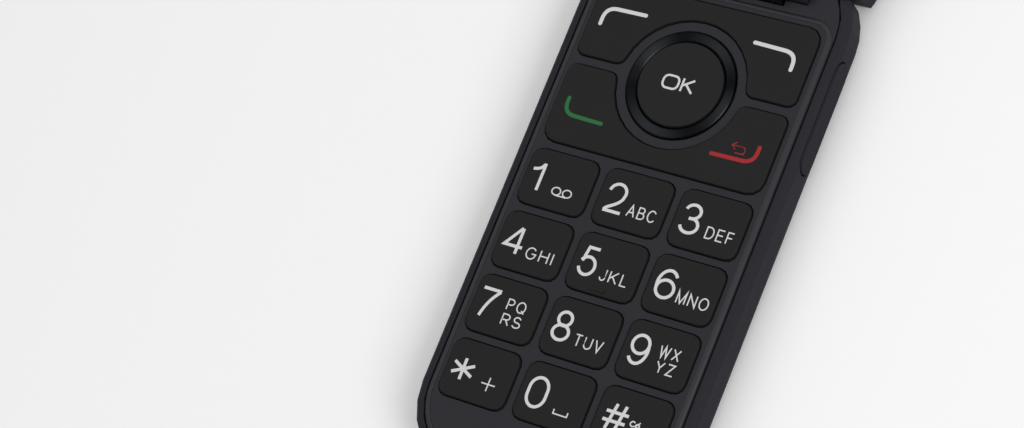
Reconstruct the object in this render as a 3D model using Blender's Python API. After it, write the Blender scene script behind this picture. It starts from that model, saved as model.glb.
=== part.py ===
# Flip phone, open on its back. Metres, +Z up: X runs across the phone, +Y towards the hinge and the lid.
# The origin is on the table, under the middle of the base. The lid is built closed and then swung open.

import math

import bmesh
import bpy
from mathutils import Matrix, Vector

MM = 0.001
DEG = math.pi / 180

# Both shells
BODY_WIDTH = 54.6 * MM
TAIL_REACH = 55.2 * MM
CORNER_RADIUS = 15.0 * MM
SHELL_END_Y = 51.25 * MM
HINGE_ARC_Y = 43.2 * MM
SHOULDER_RADIUS = 1.5 * MM
RIM_FLAT = 0.35 * MM
BELLY_RADIUS = 7.9 * MM
WALL_INSET = 3.4 * MM
COVER_GROOVE = 0.3 * MM
COVER_EDGE_FILLET = 0.3 * MM
FIT_GAP = 0.3 * MM
OVERRUN = 2.0 * MM

# Base heights
BASE_THICKNESS = 10.0 * MM
COVER_LEDGE_Z = 7.9 * MM
BOARD_FLOOR_Z = 5.6 * MM

# Front cover and its raised deck
DECK_RISE = 0.4 * MM
DECK_MARGIN = 0.75 * MM
DECK_WALL = 1.2 * MM
DECK_FILLET = 0.55 * MM
DECK_END_Y = 45.25 * MM
DECK_CORNER_RADIUS = 3.8 * MM
SKIRT_WALL = 1.1 * MM

# Hinge
HINGE_Y = 51.4 * MM
HINGE_Z = 10.15 * MM
OPEN_ANGLE = 170 * DEG
BARREL_RADIUS = 4.4 * MM
BARREL_LENGTH = 25.9 * MM
NOTCH_WIDTH = 26.5 * MM
NOTCH_START_Y = 46.9 * MM
NOTCH_CORNER_RADIUS = 1.0 * MM
BARREL_BORE_RADIUS = 3.0 * MM
CHEEK_RADIUS = 3.2 * MM
CHEEK_WIDTH = 4.2 * MM
PIN_RADIUS = 1.5 * MM
PIN_REACH = 3.5 * MM
MODULE_LENGTH = 11.5 * MM
BUSH_LENGTH = 7.0 * MM
FLEX_ROLL_LENGTH = 5.0 * MM
FLEX_ROLL_WALL = 0.5 * MM
TONGUE_WIDTH = 20.0 * MM
TONGUE_LENGTH = 9.0 * MM
TONGUE_THICKNESS = 1.2 * MM

# Number keys
KEY_PITCH_X = 15.9 * MM
KEY_PITCH_Y = 12.96 * MM
KEY_WIDTH = 14.04 * MM
KEY_LENGTH = 11.2 * MM
KEY_CORNER_RADIUS = 1.9 * MM
KEY_RISE = 0.6 * MM
KEY_EDGE_FILLET = 0.3 * MM
FIRST_ROW_Y = 2.75 * MM
KEY_GAP = 0.25 * MM
KEY_FLANGE = 0.55 * MM
FLANGE_THICKNESS = 0.5 * MM
KEY_TRAVEL = 0.35 * MM
NUB_LENGTH = 3.2 * MM
NUB_WIDTH = 0.6 * MM
NUB_RISE = 0.25 * MM
NUB_EDGE_GAP = 1.0 * MM
NUB_KEY = "5"
KEY_NAMES = (("1", "2", "3"), ("4", "5", "6"), ("7", "8", "9"), ("star", "0", "hash"))

# Function plates, navigation ring and OK key
RING_Y = 26.95 * MM
OK_RADIUS = 8.47 * MM
RING_RADIUS = 10.94 * MM
PLATE_CUT_RADIUS = 12.98 * MM
PLATE_WIDTH = 45.8 * MM
PLATE_CORNER_RADIUS = 2.8 * MM
PLATE_JOINT_RADIUS = 1.6 * MM
LOWER_PLATE_FAR_Y = 10.15 * MM
LOWER_PLATE_NEAR_Y = 26.0 * MM
UPPER_PLATE_NEAR_Y = 28.0 * MM
UPPER_PLATE_FAR_Y = 43.7 * MM
RING_RISE = 0.7 * MM
RING_BEVEL = 0.35 * MM
RING_LIP = 0.2 * MM
CARRIER_THICKNESS = 0.45 * MM
CARRIER_BORE_RADIUS = 3.6 * MM
OK_STEM_RADIUS = 3.0 * MM

# Keypad stack under the keys
MAT_THICKNESS = 0.4 * MM
MAT_PAD_RISE = 0.2 * MM
MAT_PAD_RADIUS = 2.2 * MM
DOME_SHEET_THICKNESS = 0.2 * MM
DOME_RISE = 0.15 * MM
DOME_RADIUS = 2.0 * MM
BOARD_THICKNESS = 0.8 * MM
STACK_GAP = 0.2 * MM
BOARD_INSET = 3.8 * MM
BOARD_END_Y = 45.0 * MM

# Volume key
VOLUME_LENGTH = 22.2 * MM
VOLUME_Y = 28.75 * MM
VOLUME_HEIGHT = 5.2 * MM
VOLUME_Z = 6.3 * MM
VOLUME_GAP = 0.3 * MM
VOLUME_DEPTH = 1.7 * MM
VOLUME_PROUD = 0.25 * MM
VOLUME_ROUND_SHARE = 2.2
SWITCH_LENGTH = 18.0 * MM
SWITCH_HEIGHT = 2.8 * MM
SWITCH_DEPTH = 0.6 * MM
SWITCH_POCKET_DEPTH = 1.1 * MM

# Battery, its bay and its cover
BAY_WIDTH = 37.0 * MM
BAY_END_SLACK = 1.0 * MM
BAY_Y = -6.0 * MM
BAY_DEPTH = 4.9 * MM
BAY_CORNER_RADIUS = 1.5 * MM
COVER_WIDTH = 39.6 * MM
COVER_MARGIN = 3.5 * MM
COVER_Y = -5.0 * MM
COVER_THICKNESS = 1.0 * MM
COVER_CORNER_RADIUS = 9.0 * MM
COVER_CATCH_WIDTH = 6.0 * MM
COVER_CATCH_REACH = 1.2 * MM
COVER_FILLET = 0.3 * MM
BATTERY_SEAT_GAP = 0.05 * MM
BATTERY_FILLET = 0.6 * MM
NAIL_SLOT_WIDTH = 9.0 * MM
NAIL_SLOT_LENGTH = 1.6 * MM
BATTERY_THICKNESS = 3.2 * MM
BATTERY_LENGTH = 54.0 * MM
BATTERY_CORNER_RADIUS = 2.0 * MM
CONTACT_BLOCK_WIDTH = 10.0 * MM
CONTACT_BLOCK_LENGTH = 3.6 * MM
CONTACT_BLOCK_HEIGHT = 2.8 * MM
CONTACT_BLADE_WIDTH = 1.2 * MM
CONTACT_BLADE_REACH = 0.4 * MM
CONTACT_BLADE_PITCH = 2.6 * MM

# Parts in the base below the board
SPEAKER_WIDTH = 18.0 * MM
SPEAKER_LENGTH = 13.0 * MM
SPEAKER_HEIGHT = 2.6 * MM
SPEAKER_X = 8.5 * MM
SPEAKER_Y = 35.6 * MM
SPEAKER_CORNER_RADIUS = 3.0 * MM
SOUND_HOLE_RADIUS = 0.55 * MM
SOUND_HOLE_PITCH = 2.0 * MM
SOUND_HOLE_COLUMNS = 5
SOUND_HOLE_ROWS = 2
SIM_WIDTH = 16.0 * MM
SIM_LENGTH = 15.0 * MM
SIM_HEIGHT = 1.2 * MM
SIM_WALL = 0.3 * MM
SIM_X = -12.0 * MM
SIM_Y = 35.5 * MM
MOTOR_RADIUS = 4.0 * MM
MOTOR_HEIGHT = 2.7 * MM
MOTOR_X = 13.0 * MM
TAIL_PARTS_Y = -44.5 * MM
PORT_WIDTH = 7.6 * MM
PORT_HEIGHT = 2.6 * MM
PORT_DEPTH = 5.4 * MM
PORT_WALL = 0.35 * MM
PORT_Z = 3.95 * MM
PORT_TONGUE_HEIGHT = 0.6 * MM
PORT_TONGUE_SHARE = 3.0
PORT_SETBACK = 2.1 * MM
MIC_RADIUS = 2.0 * MM
MIC_HEIGHT = 1.5 * MM
MIC_X = -12.0 * MM
MIC_HOLE_RADIUS = 0.6 * MM
ANTENNA_WIDTH = 34.0 * MM
ANTENNA_LENGTH = 2.4 * MM
ANTENNA_HEIGHT = 2.2 * MM
ANTENNA_SPACING = 1.3 * MM

# Lid
LID_THICKNESS = 9.2 * MM
LID_BELLY_RADIUS = 2.6 * MM
LID_ARC_Y = 47.4 * MM
LID_HINGE_RADIUS = 8.6 * MM
PARTING_GAP = 0.3 * MM
LID_CLEARANCE = 0.5 * MM
FRAME_THICKNESS = 1.2 * MM
ROOF_THICKNESS = 1.3 * MM
SCREEN_Y = -5.0 * MM
LENS_WIDTH = 46.0 * MM
LENS_LENGTH = 63.0 * MM
LENS_THICKNESS = 0.7 * MM
LENS_CORNER_RADIUS = 2.4 * MM
LENS_GAP = 0.15 * MM
VIEW_WIDTH = 42.0 * MM
VIEW_LENGTH = 57.0 * MM
VIEW_CORNER_RADIUS = 0.8 * MM
DISPLAY_WIDTH = 46.4 * MM
DISPLAY_LENGTH = 64.0 * MM
DISPLAY_THICKNESS = 2.0 * MM
LID_BOARD_WIDTH = 42.0 * MM
LID_BOARD_LENGTH = 52.0 * MM
LID_BOARD_THICKNESS = 0.6 * MM
SUB_LENS_WIDTH = 31.0 * MM
SUB_LENS_LENGTH = 24.0 * MM
SUB_LENS_THICKNESS = 0.6 * MM
SUB_VIEW_WIDTH = 26.0 * MM
SUB_VIEW_LENGTH = 19.0 * MM
SUB_DISPLAY_THICKNESS = 0.8 * MM
SUB_LENS_Y = 6.0 * MM
CAMERA_Y = 33.0 * MM
CAMERA_SIDE = 7.6 * MM
CAMERA_HEIGHT = 3.2 * MM
CAMERA_RING_RADIUS = 5.2 * MM
CAMERA_RING_PROUD = 0.3 * MM
CAMERA_RING_DEPTH = 0.9 * MM
CAMERA_LIP = 0.25 * MM
CAMERA_WINDOW_RADIUS = 3.6 * MM
CAMERA_HOLE_RADIUS = 3.0 * MM
FLASH_X = 9.6 * MM
FLASH_RADIUS = 1.6 * MM
FLASH_HEIGHT = 1.6 * MM
EARPIECE_Y = -44.6 * MM
EARPIECE_WIDTH = 14.0 * MM
EARPIECE_LENGTH = 6.6 * MM
EARPIECE_HEIGHT = 2.6 * MM
MESH_WIDTH = 11.0 * MM
MESH_LENGTH = 1.8 * MM
MESH_THICKNESS = 0.5 * MM
MESH_SLOT_WIDTH = 0.35 * MM
MESH_SLOT_COUNT = 9
BUMPER_X = 15.5 * MM
BUMPER_Y = -46.4 * MM
BUMPER_RADIUS = 1.5 * MM
BUMPER_SINK = 0.5 * MM
BUMPER_FILLET = 0.3 * MM
MAGNET_X = 19.0 * MM
MAGNET_SIDE = 3.0 * MM
MAGNET_LENGTH = 5.0 * MM
MAGNET_THICKNESS = 1.2 * MM

# Facets
CORNER_STEPS = 6
SMALL_CORNER_STEPS = 3
FINE_STEPS = 3
ROUND_SIDES = 44
SMALL_SIDES = 20
HOLE_SIDES = 8
SHARP_ANGLE = 32 * DEG

# Insets and heights that follow from the sizes above
SEAT_INSET = SHOULDER_RADIUS + RIM_FLAT
BAY_LENGTH = BATTERY_LENGTH + CONTACT_BLOCK_LENGTH + CONTACT_BLADE_REACH + BAY_END_SLACK
COVER_LENGTH = BAY_LENGTH + 2 * COVER_MARGIN
ANTENNA_Y = BAY_Y - BAY_LENGTH / 2 - ANTENNA_SPACING - ANTENNA_LENGTH / 2
COVER_INSET = SEAT_INSET + COVER_GROOVE
DECK_Z = BASE_THICKNESS + DECK_RISE
DECK_UNDER_Z = DECK_Z - DECK_WALL
KEY_TOP_Z = DECK_Z + KEY_RISE
RING_TOP_Z = DECK_Z + RING_RISE
FLANGE_TOP_Z = DECK_UNDER_Z - FIT_GAP
FLANGE_Z = FLANGE_TOP_Z - FLANGE_THICKNESS
PAD_TOP_Z = FLANGE_Z - KEY_TRAVEL - STACK_GAP / 4
MAT_TOP_Z = PAD_TOP_Z - MAT_PAD_RISE
MAT_Z = MAT_TOP_Z - MAT_THICKNESS
DOME_TOP_Z = MAT_Z - STACK_GAP / 2
DOME_SHEET_Z = DOME_TOP_Z - DOME_RISE - DOME_SHEET_THICKNESS
BOARD_TOP_Z = DOME_SHEET_Z - STACK_GAP / 2
BOARD_Z = BOARD_TOP_Z - BOARD_THICKNESS
LID_RIM_Z = BASE_THICKNESS + PARTING_GAP
LID_TOP_Z = LID_RIM_Z + LID_THICKNESS
ROOF_Z = LID_TOP_Z - ROOF_THICKNESS
FRAME_Z = KEY_TOP_Z + LID_CLEARANCE
FRAME_BACK_Z = FRAME_Z + FRAME_THICKNESS
DISPLAY_Z = FRAME_BACK_Z + FIT_GAP
LID_BOARD_Z = DISPLAY_Z + DISPLAY_THICKNESS + STACK_GAP
SUB_DISPLAY_Z = ROOF_Z - STACK_GAP - SUB_DISPLAY_THICKNESS
TONGUE_Z = FRAME_BACK_Z + FIT_GAP
CHEEK_START_X = NOTCH_WIDTH / 2
CHEEK_END_X = CHEEK_START_X + CHEEK_WIDTH
BASE_END = (HINGE_ARC_Y, CORNER_RADIUS)
LID_END = (LID_ARC_Y, LID_HINGE_RADIUS)


# Helpers

def clear_scene():
    for old in list(bpy.data.objects):
        bpy.data.objects.remove(old, do_unlink=True)


def new_collection(name):
    group = bpy.data.collections.new(name)
    bpy.context.scene.collection.children.link(group)
    return group


def material(name, colour, roughness, metallic=0.0):
    made = bpy.data.materials.new(name)
    made.use_nodes = True
    shader = made.node_tree.nodes["Principled BSDF"]
    shader.inputs["Base Color"].default_value = (*colour, 1.0)
    shader.inputs["Roughness"].default_value = roughness
    shader.inputs["Metallic"].default_value = metallic
    return made


def object_of(name, bm, group, look=None):
    """A new object that holds the bmesh; cutters have no look and stay out of renders."""
    bmesh.ops.recalc_face_normals(bm, faces=bm.faces)
    mesh = bpy.data.meshes.new(name)
    bm.to_mesh(mesh)
    bm.free()
    made = bpy.data.objects.new(name, mesh)
    group.objects.link(made)
    if look is None:
        made.hide_render = True
        made.display_type = "WIRE"
    else:
        mesh.materials.append(look)
        mesh.shade_smooth()
        mesh.set_sharp_from_angle(angle=SHARP_ANGLE)
    return made


def cut(target, cutter, operation="DIFFERENCE"):
    boolean = target.modifiers.new(cutter.name, "BOOLEAN")
    boolean.operation = operation
    boolean.object = cutter


def arc(centre_x, centre_y, radius, start, end, steps):
    """Points along an arc, both ends included; the angles are in radians."""
    turns = [start + (end - start) * step / steps for step in range(steps + 1)]
    return [(centre_x + radius * math.cos(t), centre_y + radius * math.sin(t)) for t in turns]


def rounded_rectangle(width, length, radius, centre=(0, 0), steps=SMALL_CORNER_STEPS):
    x, y = width / 2 - radius, length / 2 - radius
    points = []
    for turn, (side, way) in enumerate(((1, 1), (-1, 1), (-1, -1), (1, -1))):
        start = turn * math.pi / 2
        middle = (centre[0] + side * x, centre[1] + way * y)
        points += arc(*middle, radius, start, start + math.pi / 2, steps)
    return points


def circle(radius, centre=(0, 0), sides=SMALL_SIDES):
    return arc(*centre, radius, 0, math.tau, sides)[:-1]


def prism(points, low, high):
    """A bmesh of the outline raised from low to high."""
    bm = bmesh.new()
    face = bm.faces.new([bm.verts.new((x, y, low)) for x, y in points])
    raised = bmesh.ops.extrude_face_region(bm, geom=[face])
    moved = [item for item in raised["geom"] if isinstance(item, bmesh.types.BMVert)]
    bmesh.ops.translate(bm, verts=moved, vec=(0, 0, high - low))
    return bm


def edges_at(bm, height):
    """The edges of the outline that lies at this height."""
    near = FIT_GAP / 100
    return [e for e in bm.edges if all(abs(v.co.z - height) < near for v in e.verts)]


def round_edge(bm, height, radius, steps=FINE_STEPS):
    bmesh.ops.bevel(
        bm, geom=edges_at(bm, height), offset=radius, segments=steps, profile=0.5,
        affect="EDGES", material=-1, clamp_overlap=True,
    )
    return bm


def joined(*shapes):
    """One bmesh of several that don't meet."""
    whole = bmesh.new()
    for shape in shapes:
        held = bpy.data.meshes.new("held")
        shape.to_mesh(held)
        shape.free()
        whole.from_mesh(held)
        bpy.data.meshes.remove(held)
    return whole


def box(low, high):
    bm = bmesh.new()
    bmesh.ops.create_cube(bm, size=1.0)
    size = [b - a for a, b in zip(low, high)]
    middle = [(a + b) / 2 for a, b in zip(low, high)]
    bmesh.ops.scale(bm, verts=bm.verts, vec=size)
    bmesh.ops.translate(bm, verts=bm.verts, vec=middle)
    return bm


def cylinder_x(radius, start, end, y, z, sides=SMALL_SIDES):
    """A cylinder that lies along X, its flats turned so that no edge lies on a parting plane."""
    bm = bmesh.new()
    bmesh.ops.create_cone(
        bm, cap_ends=True, segments=sides, radius1=radius, radius2=radius, depth=end - start
    )
    bmesh.ops.rotate(bm, verts=bm.verts, matrix=Matrix.Rotation(math.pi / sides, 3, "Z"))
    bmesh.ops.rotate(bm, verts=bm.verts, matrix=Matrix.Rotation(math.pi / 2, 3, "Y"))
    bmesh.ops.translate(bm, verts=bm.verts, vec=((start + end) / 2, y, z))
    return bm


def flat_plate(name, points, low, high, group, look):
    """A flat outline as a filled 2D curve, turned into a mesh whose caps are welded to its sides."""
    curve = bpy.data.curves.new(name + "_outline", "CURVE")
    curve.dimensions = "2D"
    curve.fill_mode = "BOTH"
    curve.extrude = (high - low) / 2
    spline = curve.splines.new("POLY")
    spline.points.add(len(points) - 1)
    for point, (x, y) in zip(spline.points, points):
        point.co = (x, y, 0, 1)
    spline.use_cyclic_u = True
    drawn = bpy.data.objects.new(name + "_outline", curve)
    group.objects.link(drawn)
    bpy.context.view_layer.update()
    graph = bpy.context.evaluated_depsgraph_get()
    mesh = bpy.data.meshes.new_from_object(drawn.evaluated_get(graph))
    bpy.data.objects.remove(drawn)
    bm = bmesh.new()
    bm.from_mesh(mesh)
    bpy.data.meshes.remove(mesh)
    bmesh.ops.remove_doubles(bm, verts=bm.verts, dist=FIT_GAP / 100)
    bmesh.ops.translate(bm, verts=bm.verts, vec=(0, 0, (low + high) / 2))
    return object_of(name, bm, group, look)


def shell_outline(inset, steps=CORNER_STEPS, end_inset=None, hinge_end=BASE_END):
    """A shell's plan outline, moved in by the inset; hinge_end says where its sides turn in."""
    x = BODY_WIDTH / 2 - inset
    radius = CORNER_RADIUS - inset
    corner_x = BODY_WIDTH / 2 - CORNER_RADIUS
    end_y = SHELL_END_Y - (inset if end_inset is None else end_inset)
    arc_y, hinge_radius = hinge_end
    hinge_x, tight = BODY_WIDTH / 2 - hinge_radius, hinge_radius - inset
    turn = math.asin(min(1, (end_y - arc_y) / tight)) if end_y > arc_y else 0
    right = arc(corner_x, CORNER_RADIUS - TAIL_REACH, radius, -math.pi / 2, 0, steps)
    if turn:
        right += arc(hinge_x, arc_y, tight, 0, turn, FINE_STEPS)
    else:
        right.append((x, end_y))
    return right + [(-x, y) for x, y in reversed(right)]


def shell_solid(rim_z, outer_z, belly, grow=0, hinge_end=BASE_END):
    """The outer form of a shell: a round shoulder at the rim and a larger round at the outer face."""
    way = grow if rim_z > outer_z else -grow
    rim, outer = rim_z + way, outer_z - way
    bm = prism(shell_outline(-grow, hinge_end=hinge_end), min(rim, outer), max(rim, outer))
    round_edge(bm, rim, SHOULDER_RADIUS + grow)
    return round_edge(bm, outer, belly + grow, CORNER_STEPS)


def key_solid(width, length, corner, low, top, flange=KEY_FLANGE, fillet=KEY_EDGE_FILLET):
    """A key cap that stands on a wider flange, which holds it under the deck."""
    radius = corner + flange
    bm = prism(rounded_rectangle(width + 2 * flange, length + 2 * flange, radius), low,
        low + FLANGE_THICKNESS)
    upper = max(bm.faces, key=lambda f: f.calc_center_median().z)
    bmesh.ops.inset_region(bm, faces=[upper], thickness=flange, use_even_offset=True)
    raised = bmesh.ops.extrude_face_region(bm, geom=[upper])
    bmesh.ops.delete(bm, geom=[upper], context="FACES_ONLY")
    moved = [item for item in raised["geom"] if isinstance(item, bmesh.types.BMVert)]
    bmesh.ops.translate(bm, verts=moved, vec=(0, 0, top - low - FLANGE_THICKNESS))
    return round_edge(bm, top, fillet, 2)


def ring_solid(section, centre_y=RING_Y):
    """A ring turned about an upright axis, from its section as points of radius and height."""
    bm = bmesh.new()
    verts = [bm.verts.new((x, 0, z)) for x, z in section]
    edges = [bm.edges.new(pair) for pair in zip(verts, verts[1:] + verts[:1])]
    bmesh.ops.spin(
        bm, geom=verts + edges, axis=(0, 0, 1), cent=(0, 0, 0), dvec=(0, 0, 0),
        angle=math.tau, steps=ROUND_SIDES, use_merge=True,
    )
    bmesh.ops.remove_doubles(bm, verts=bm.verts, dist=FIT_GAP / 100)
    bmesh.ops.translate(bm, verts=bm.verts, vec=(0, centre_y, 0))
    return bm


def function_plate_outline(far_y, joint_y, grow):
    """The arch or the U round the ring: a rounded rectangle, bitten by a circle about the ring's centre."""
    way = 1 if far_y > RING_Y else -1
    x = PLATE_WIDTH / 2 + grow
    far_v = way * (far_y - RING_Y) + grow
    joint_v = way * (joint_y - RING_Y) - grow
    bite = PLATE_CUT_RADIUS - grow
    far, near = PLATE_CORNER_RADIUS + grow, PLATE_JOINT_RADIUS + grow
    near_u = math.sqrt((bite + near) ** 2 - (joint_v + near) ** 2)
    touch = math.atan2(joint_v + near, near_u)
    quarter = math.pi / 2
    half = arc(x - far, far_v - far, far, quarter, 0, SMALL_CORNER_STEPS)
    half += arc(x - near, joint_v + near, near, 0, -quarter, SMALL_CORNER_STEPS)
    half += arc(near_u, joint_v + near, near, -quarter, touch - math.pi, SMALL_CORNER_STEPS)
    half += arc(0, 0, bite, touch, quarter, CORNER_STEPS + 1)[1:]
    return [(u, RING_Y + way * v) for u, v in half] + [(-u, RING_Y + way * v) for u, v in half[-2::-1]]


def centred(made, place):
    """Moves the object's origin to the place, on its joint's axis, and leaves its shape where it is."""
    made.data.transform(Matrix.Translation(-Vector(place)))
    made.location = place
    return made


def turned_x(profile, y, z, sides=SMALL_SIDES):
    """A solid turned about an axis along X, from points of radius and place along it."""
    bm = bmesh.new()
    verts = [bm.verts.new((x, radius, 0)) for radius, x in profile]
    edges = [bm.edges.new(pair) for pair in zip(verts, verts[1:])]
    bmesh.ops.spin(
        bm, geom=verts + edges, axis=(1, 0, 0), cent=(0, 0, 0), dvec=(0, 0, 0),
        angle=math.tau, steps=sides, use_merge=True,
    )
    bmesh.ops.remove_doubles(bm, verts=bm.verts, dist=FIT_GAP / 100)
    bmesh.ops.translate(bm, verts=bm.verts, vec=(0, y, z))
    return bm


def facing_x(bm):
    """Turns a prism's outline from the XY plane to the YZ plane, its height along X."""
    bm.transform(Matrix(((0, 0, 1, 0), (1, 0, 0, 0), (0, 1, 0, 0), (0, 0, 0, 1))))
    return bm


def block(width, length, low, high, centre=(0, 0), grow=0):
    half_x, half_y = width / 2 + grow, length / 2 + grow
    return box((centre[0] - half_x, centre[1] - half_y, low), (centre[0] + half_x, centre[1] + half_y, high))


# Base, outside

def barrel_room(name, cutters):
    reach = NOTCH_WIDTH / 2
    return object_of(name, cylinder_x(BARREL_RADIUS + FIT_GAP, -reach, reach, HINGE_Y, HINGE_Z), cutters)


def notch_mouth(name, cutters):
    """The straight-sided part of the notch, with rounded inner corners."""
    length = SHELL_END_Y + OVERRUN - NOTCH_START_Y
    outline = rounded_rectangle(NOTCH_WIDTH, length, NOTCH_CORNER_RADIUS, (0, NOTCH_START_Y + length / 2))
    return object_of(name, prism(outline, HINGE_Z - BARREL_RADIUS / 2, LID_TOP_Z), cutters)


def cheek_room(name, cutters):
    grow = FIT_GAP
    rooms = [
        cylinder_x(CHEEK_RADIUS + grow,
            *sorted((side * (CHEEK_START_X - grow / 2), side * (CHEEK_END_X + grow))),
                   HINGE_Y, HINGE_Z)
        for side in (-1, 1)
    ]
    return object_of(name, joined(*rooms), cutters)


def rear_housing(parts, cutters, look):
    made = object_of("rear_housing", shell_solid(BASE_THICKNESS, 0, BELLY_RADIUS), parts, look)
    over = BASE_THICKNESS + OVERRUN
    seat = prism(shell_outline(SEAT_INSET, end_inset=-OVERRUN), COVER_LEDGE_Z, over)
    cut(made, object_of("front_cover_seat", seat, cutters))
    room = prism(shell_outline(WALL_INSET), BOARD_FLOOR_Z, over)
    cut(made, object_of("board_room", room, cutters))
    bay = rounded_rectangle(BAY_WIDTH, BAY_LENGTH, BAY_CORNER_RADIUS, (0, BAY_Y))
    cut(made, object_of("battery_bay", prism(bay, -OVERRUN, BAY_DEPTH), cutters))
    cut(made, object_of("battery_cover_recess", cover_recess(), cutters))
    cut(made, object_of("under_board_pockets", under_board_pockets(), cutters))
    cut(made, object_of("wall_openings", wall_openings(), cutters))
    cut(made, object_of("volume_key_slot", volume_slot(), cutters))
    cut(made, object_of("volume_switch_pocket", volume_switch_pocket(), cutters))
    bosses = joined(*(
        cylinder_x(CHEEK_RADIUS, *sorted((side * CHEEK_START_X, side * CHEEK_END_X)), HINGE_Y, HINGE_Z)
        for side in (-1, 1)
    ))
    cut(made, object_of("hinge_cheeks", bosses, cutters), "UNION")
    cut(made, notch_mouth("housing_notch_mouth", cutters))
    cut(made, barrel_room("housing_barrel_room", cutters))
    start, end = CHEEK_START_X - OVERRUN / 2, BARREL_LENGTH / 2 + PIN_REACH + FIT_GAP
    bores = joined(*(
        cylinder_x(PIN_RADIUS + FIT_GAP, *sorted((side * start, side * end)), HINGE_Y, HINGE_Z)
        for side in (-1, 1)
    ))
    cut(made, object_of("hinge_pin_bores", bores, cutters))
    return made


def cover_outline(grow):
    return rounded_rectangle(
        COVER_WIDTH + 2 * grow, COVER_LENGTH + 2 * grow, COVER_CORNER_RADIUS + grow, (0,
            COVER_Y), CORNER_STEPS
    )


def cover_recess():
    return prism(cover_outline(FIT_GAP), -OVERRUN, COVER_THICKNESS + FIT_GAP)


def under_board_pockets():
    """Rooms in the housing's floor, open upwards, for what hangs under the board."""
    top = BOARD_FLOOR_Z + OVERRUN
    grow = FIT_GAP
    speaker = rounded_rectangle(
        SPEAKER_WIDTH + 2 * grow, SPEAKER_LENGTH + 2 * grow, SPEAKER_CORNER_RADIUS + grow, (SPEAKER_X,
            SPEAKER_Y)
    )
    return joined(
        prism(speaker, BOARD_FLOOR_Z - SPEAKER_HEIGHT - grow, top),
        block(SIM_WIDTH, SIM_LENGTH, BOARD_FLOOR_Z - SIM_HEIGHT - grow, top, (SIM_X, SIM_Y), grow),
        prism(circle(MOTOR_RADIUS + grow, (MOTOR_X, TAIL_PARTS_Y)), BOARD_FLOOR_Z - MOTOR_HEIGHT - grow,
            top),
        prism(circle(MIC_RADIUS + grow, (MIC_X, TAIL_PARTS_Y)), BOARD_FLOOR_Z - MIC_HEIGHT - grow, top),
        block(ANTENNA_WIDTH, ANTENNA_LENGTH, BOARD_FLOOR_Z - ANTENNA_HEIGHT - grow, top, (0, ANTENNA_Y),
            grow),
    )


def wall_openings():
    """The charging port's mouth, the microphone's hole and the loudspeaker's holes."""
    grow = FIT_GAP
    port = box(
        (-PORT_WIDTH / 2 - grow, -TAIL_REACH - OVERRUN, PORT_Z - PORT_HEIGHT / 2 - grow),
        (PORT_WIDTH / 2 + grow, PORT_DEPTH + PORT_SETBACK + grow - TAIL_REACH,
            PORT_Z + PORT_HEIGHT / 2 + grow),
    )
    floor = BOARD_FLOOR_Z - SPEAKER_HEIGHT
    holes = [
        prism(circle(SOUND_HOLE_RADIUS, (
            SPEAKER_X + (column - (SOUND_HOLE_COLUMNS - 1) / 2) * SOUND_HOLE_PITCH,
            SPEAKER_Y + (row - (SOUND_HOLE_ROWS - 1) / 2) * SOUND_HOLE_PITCH,
        ), HOLE_SIDES), -OVERRUN, floor)
        for column in range(SOUND_HOLE_COLUMNS) for row in range(SOUND_HOLE_ROWS)
    ]
    microphone = prism(circle(MIC_HOLE_RADIUS, (MIC_X, TAIL_PARTS_Y), HOLE_SIDES), -OVERRUN,
        BOARD_FLOOR_Z - MIC_HEIGHT)
    return joined(port, microphone, *holes)


def volume_outline(grow):
    height = VOLUME_HEIGHT + 2 * grow
    return rounded_rectangle(VOLUME_LENGTH + 2 * grow, height, height / VOLUME_ROUND_SHARE,
        (VOLUME_Y, VOLUME_Z))


def volume_slot():
    x = BODY_WIDTH / 2
    return facing_x(prism(volume_outline(VOLUME_GAP), x - VOLUME_DEPTH - VOLUME_GAP, x + OVERRUN))


def volume_switch_pocket():
    back = BODY_WIDTH / 2 - VOLUME_DEPTH - VOLUME_GAP
    return box(
        (back - SWITCH_POCKET_DEPTH, VOLUME_Y - SWITCH_LENGTH / 2 - FIT_GAP,
            VOLUME_Z - SWITCH_HEIGHT / 2 - FIT_GAP),
        (back + VOLUME_GAP, VOLUME_Y + SWITCH_LENGTH / 2 + FIT_GAP, VOLUME_Z + SWITCH_HEIGHT / 2 + FIT_GAP),
    )


def deck_outline(inset):
    """The raised deck's outline, moved in: wide rounds at the tail, small ones at the hinge end."""
    margin = COVER_INSET + DECK_MARGIN + inset
    x, low_y, high_y = BODY_WIDTH / 2 - margin, margin - TAIL_REACH, DECK_END_Y - inset
    tail, far = CORNER_RADIUS - margin, DECK_CORNER_RADIUS - inset
    right = arc(x - tail, low_y + tail, tail, -math.pi / 2, 0, CORNER_STEPS)
    right += arc(x - far, high_y - far, far, 0, math.pi / 2, SMALL_CORNER_STEPS)
    return right + [(-px, py) for px, py in reversed(right)]


def front_cover(parts, cutters, look):
    inset = COVER_INSET
    base = COVER_LEDGE_Z + FIT_GAP
    plate = prism(shell_outline(inset, end_inset=0), base, BASE_THICKNESS)
    made = object_of("front_cover", round_edge(plate, BASE_THICKNESS, COVER_EDGE_FILLET, 2), parts, look)
    raised = round_edge(prism(deck_outline(0), BASE_THICKNESS - DECK_RISE, DECK_Z), DECK_Z, DECK_FILLET)
    cut(made, object_of("raised_deck", raised, cutters), "UNION")
    hollow = prism(deck_outline(SKIRT_WALL - DECK_MARGIN), base - OVERRUN, DECK_UNDER_Z)
    cut(made, object_of("under_deck_room", hollow, cutters))
    cut(made, object_of("deck_openings", deck_openings(), cutters))
    cut(made, notch_mouth("cover_notch_mouth", cutters))
    cut(made, barrel_room("cover_barrel_room", cutters))
    cut(made, cheek_room("cover_cheek_room", cutters))
    return made


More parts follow.
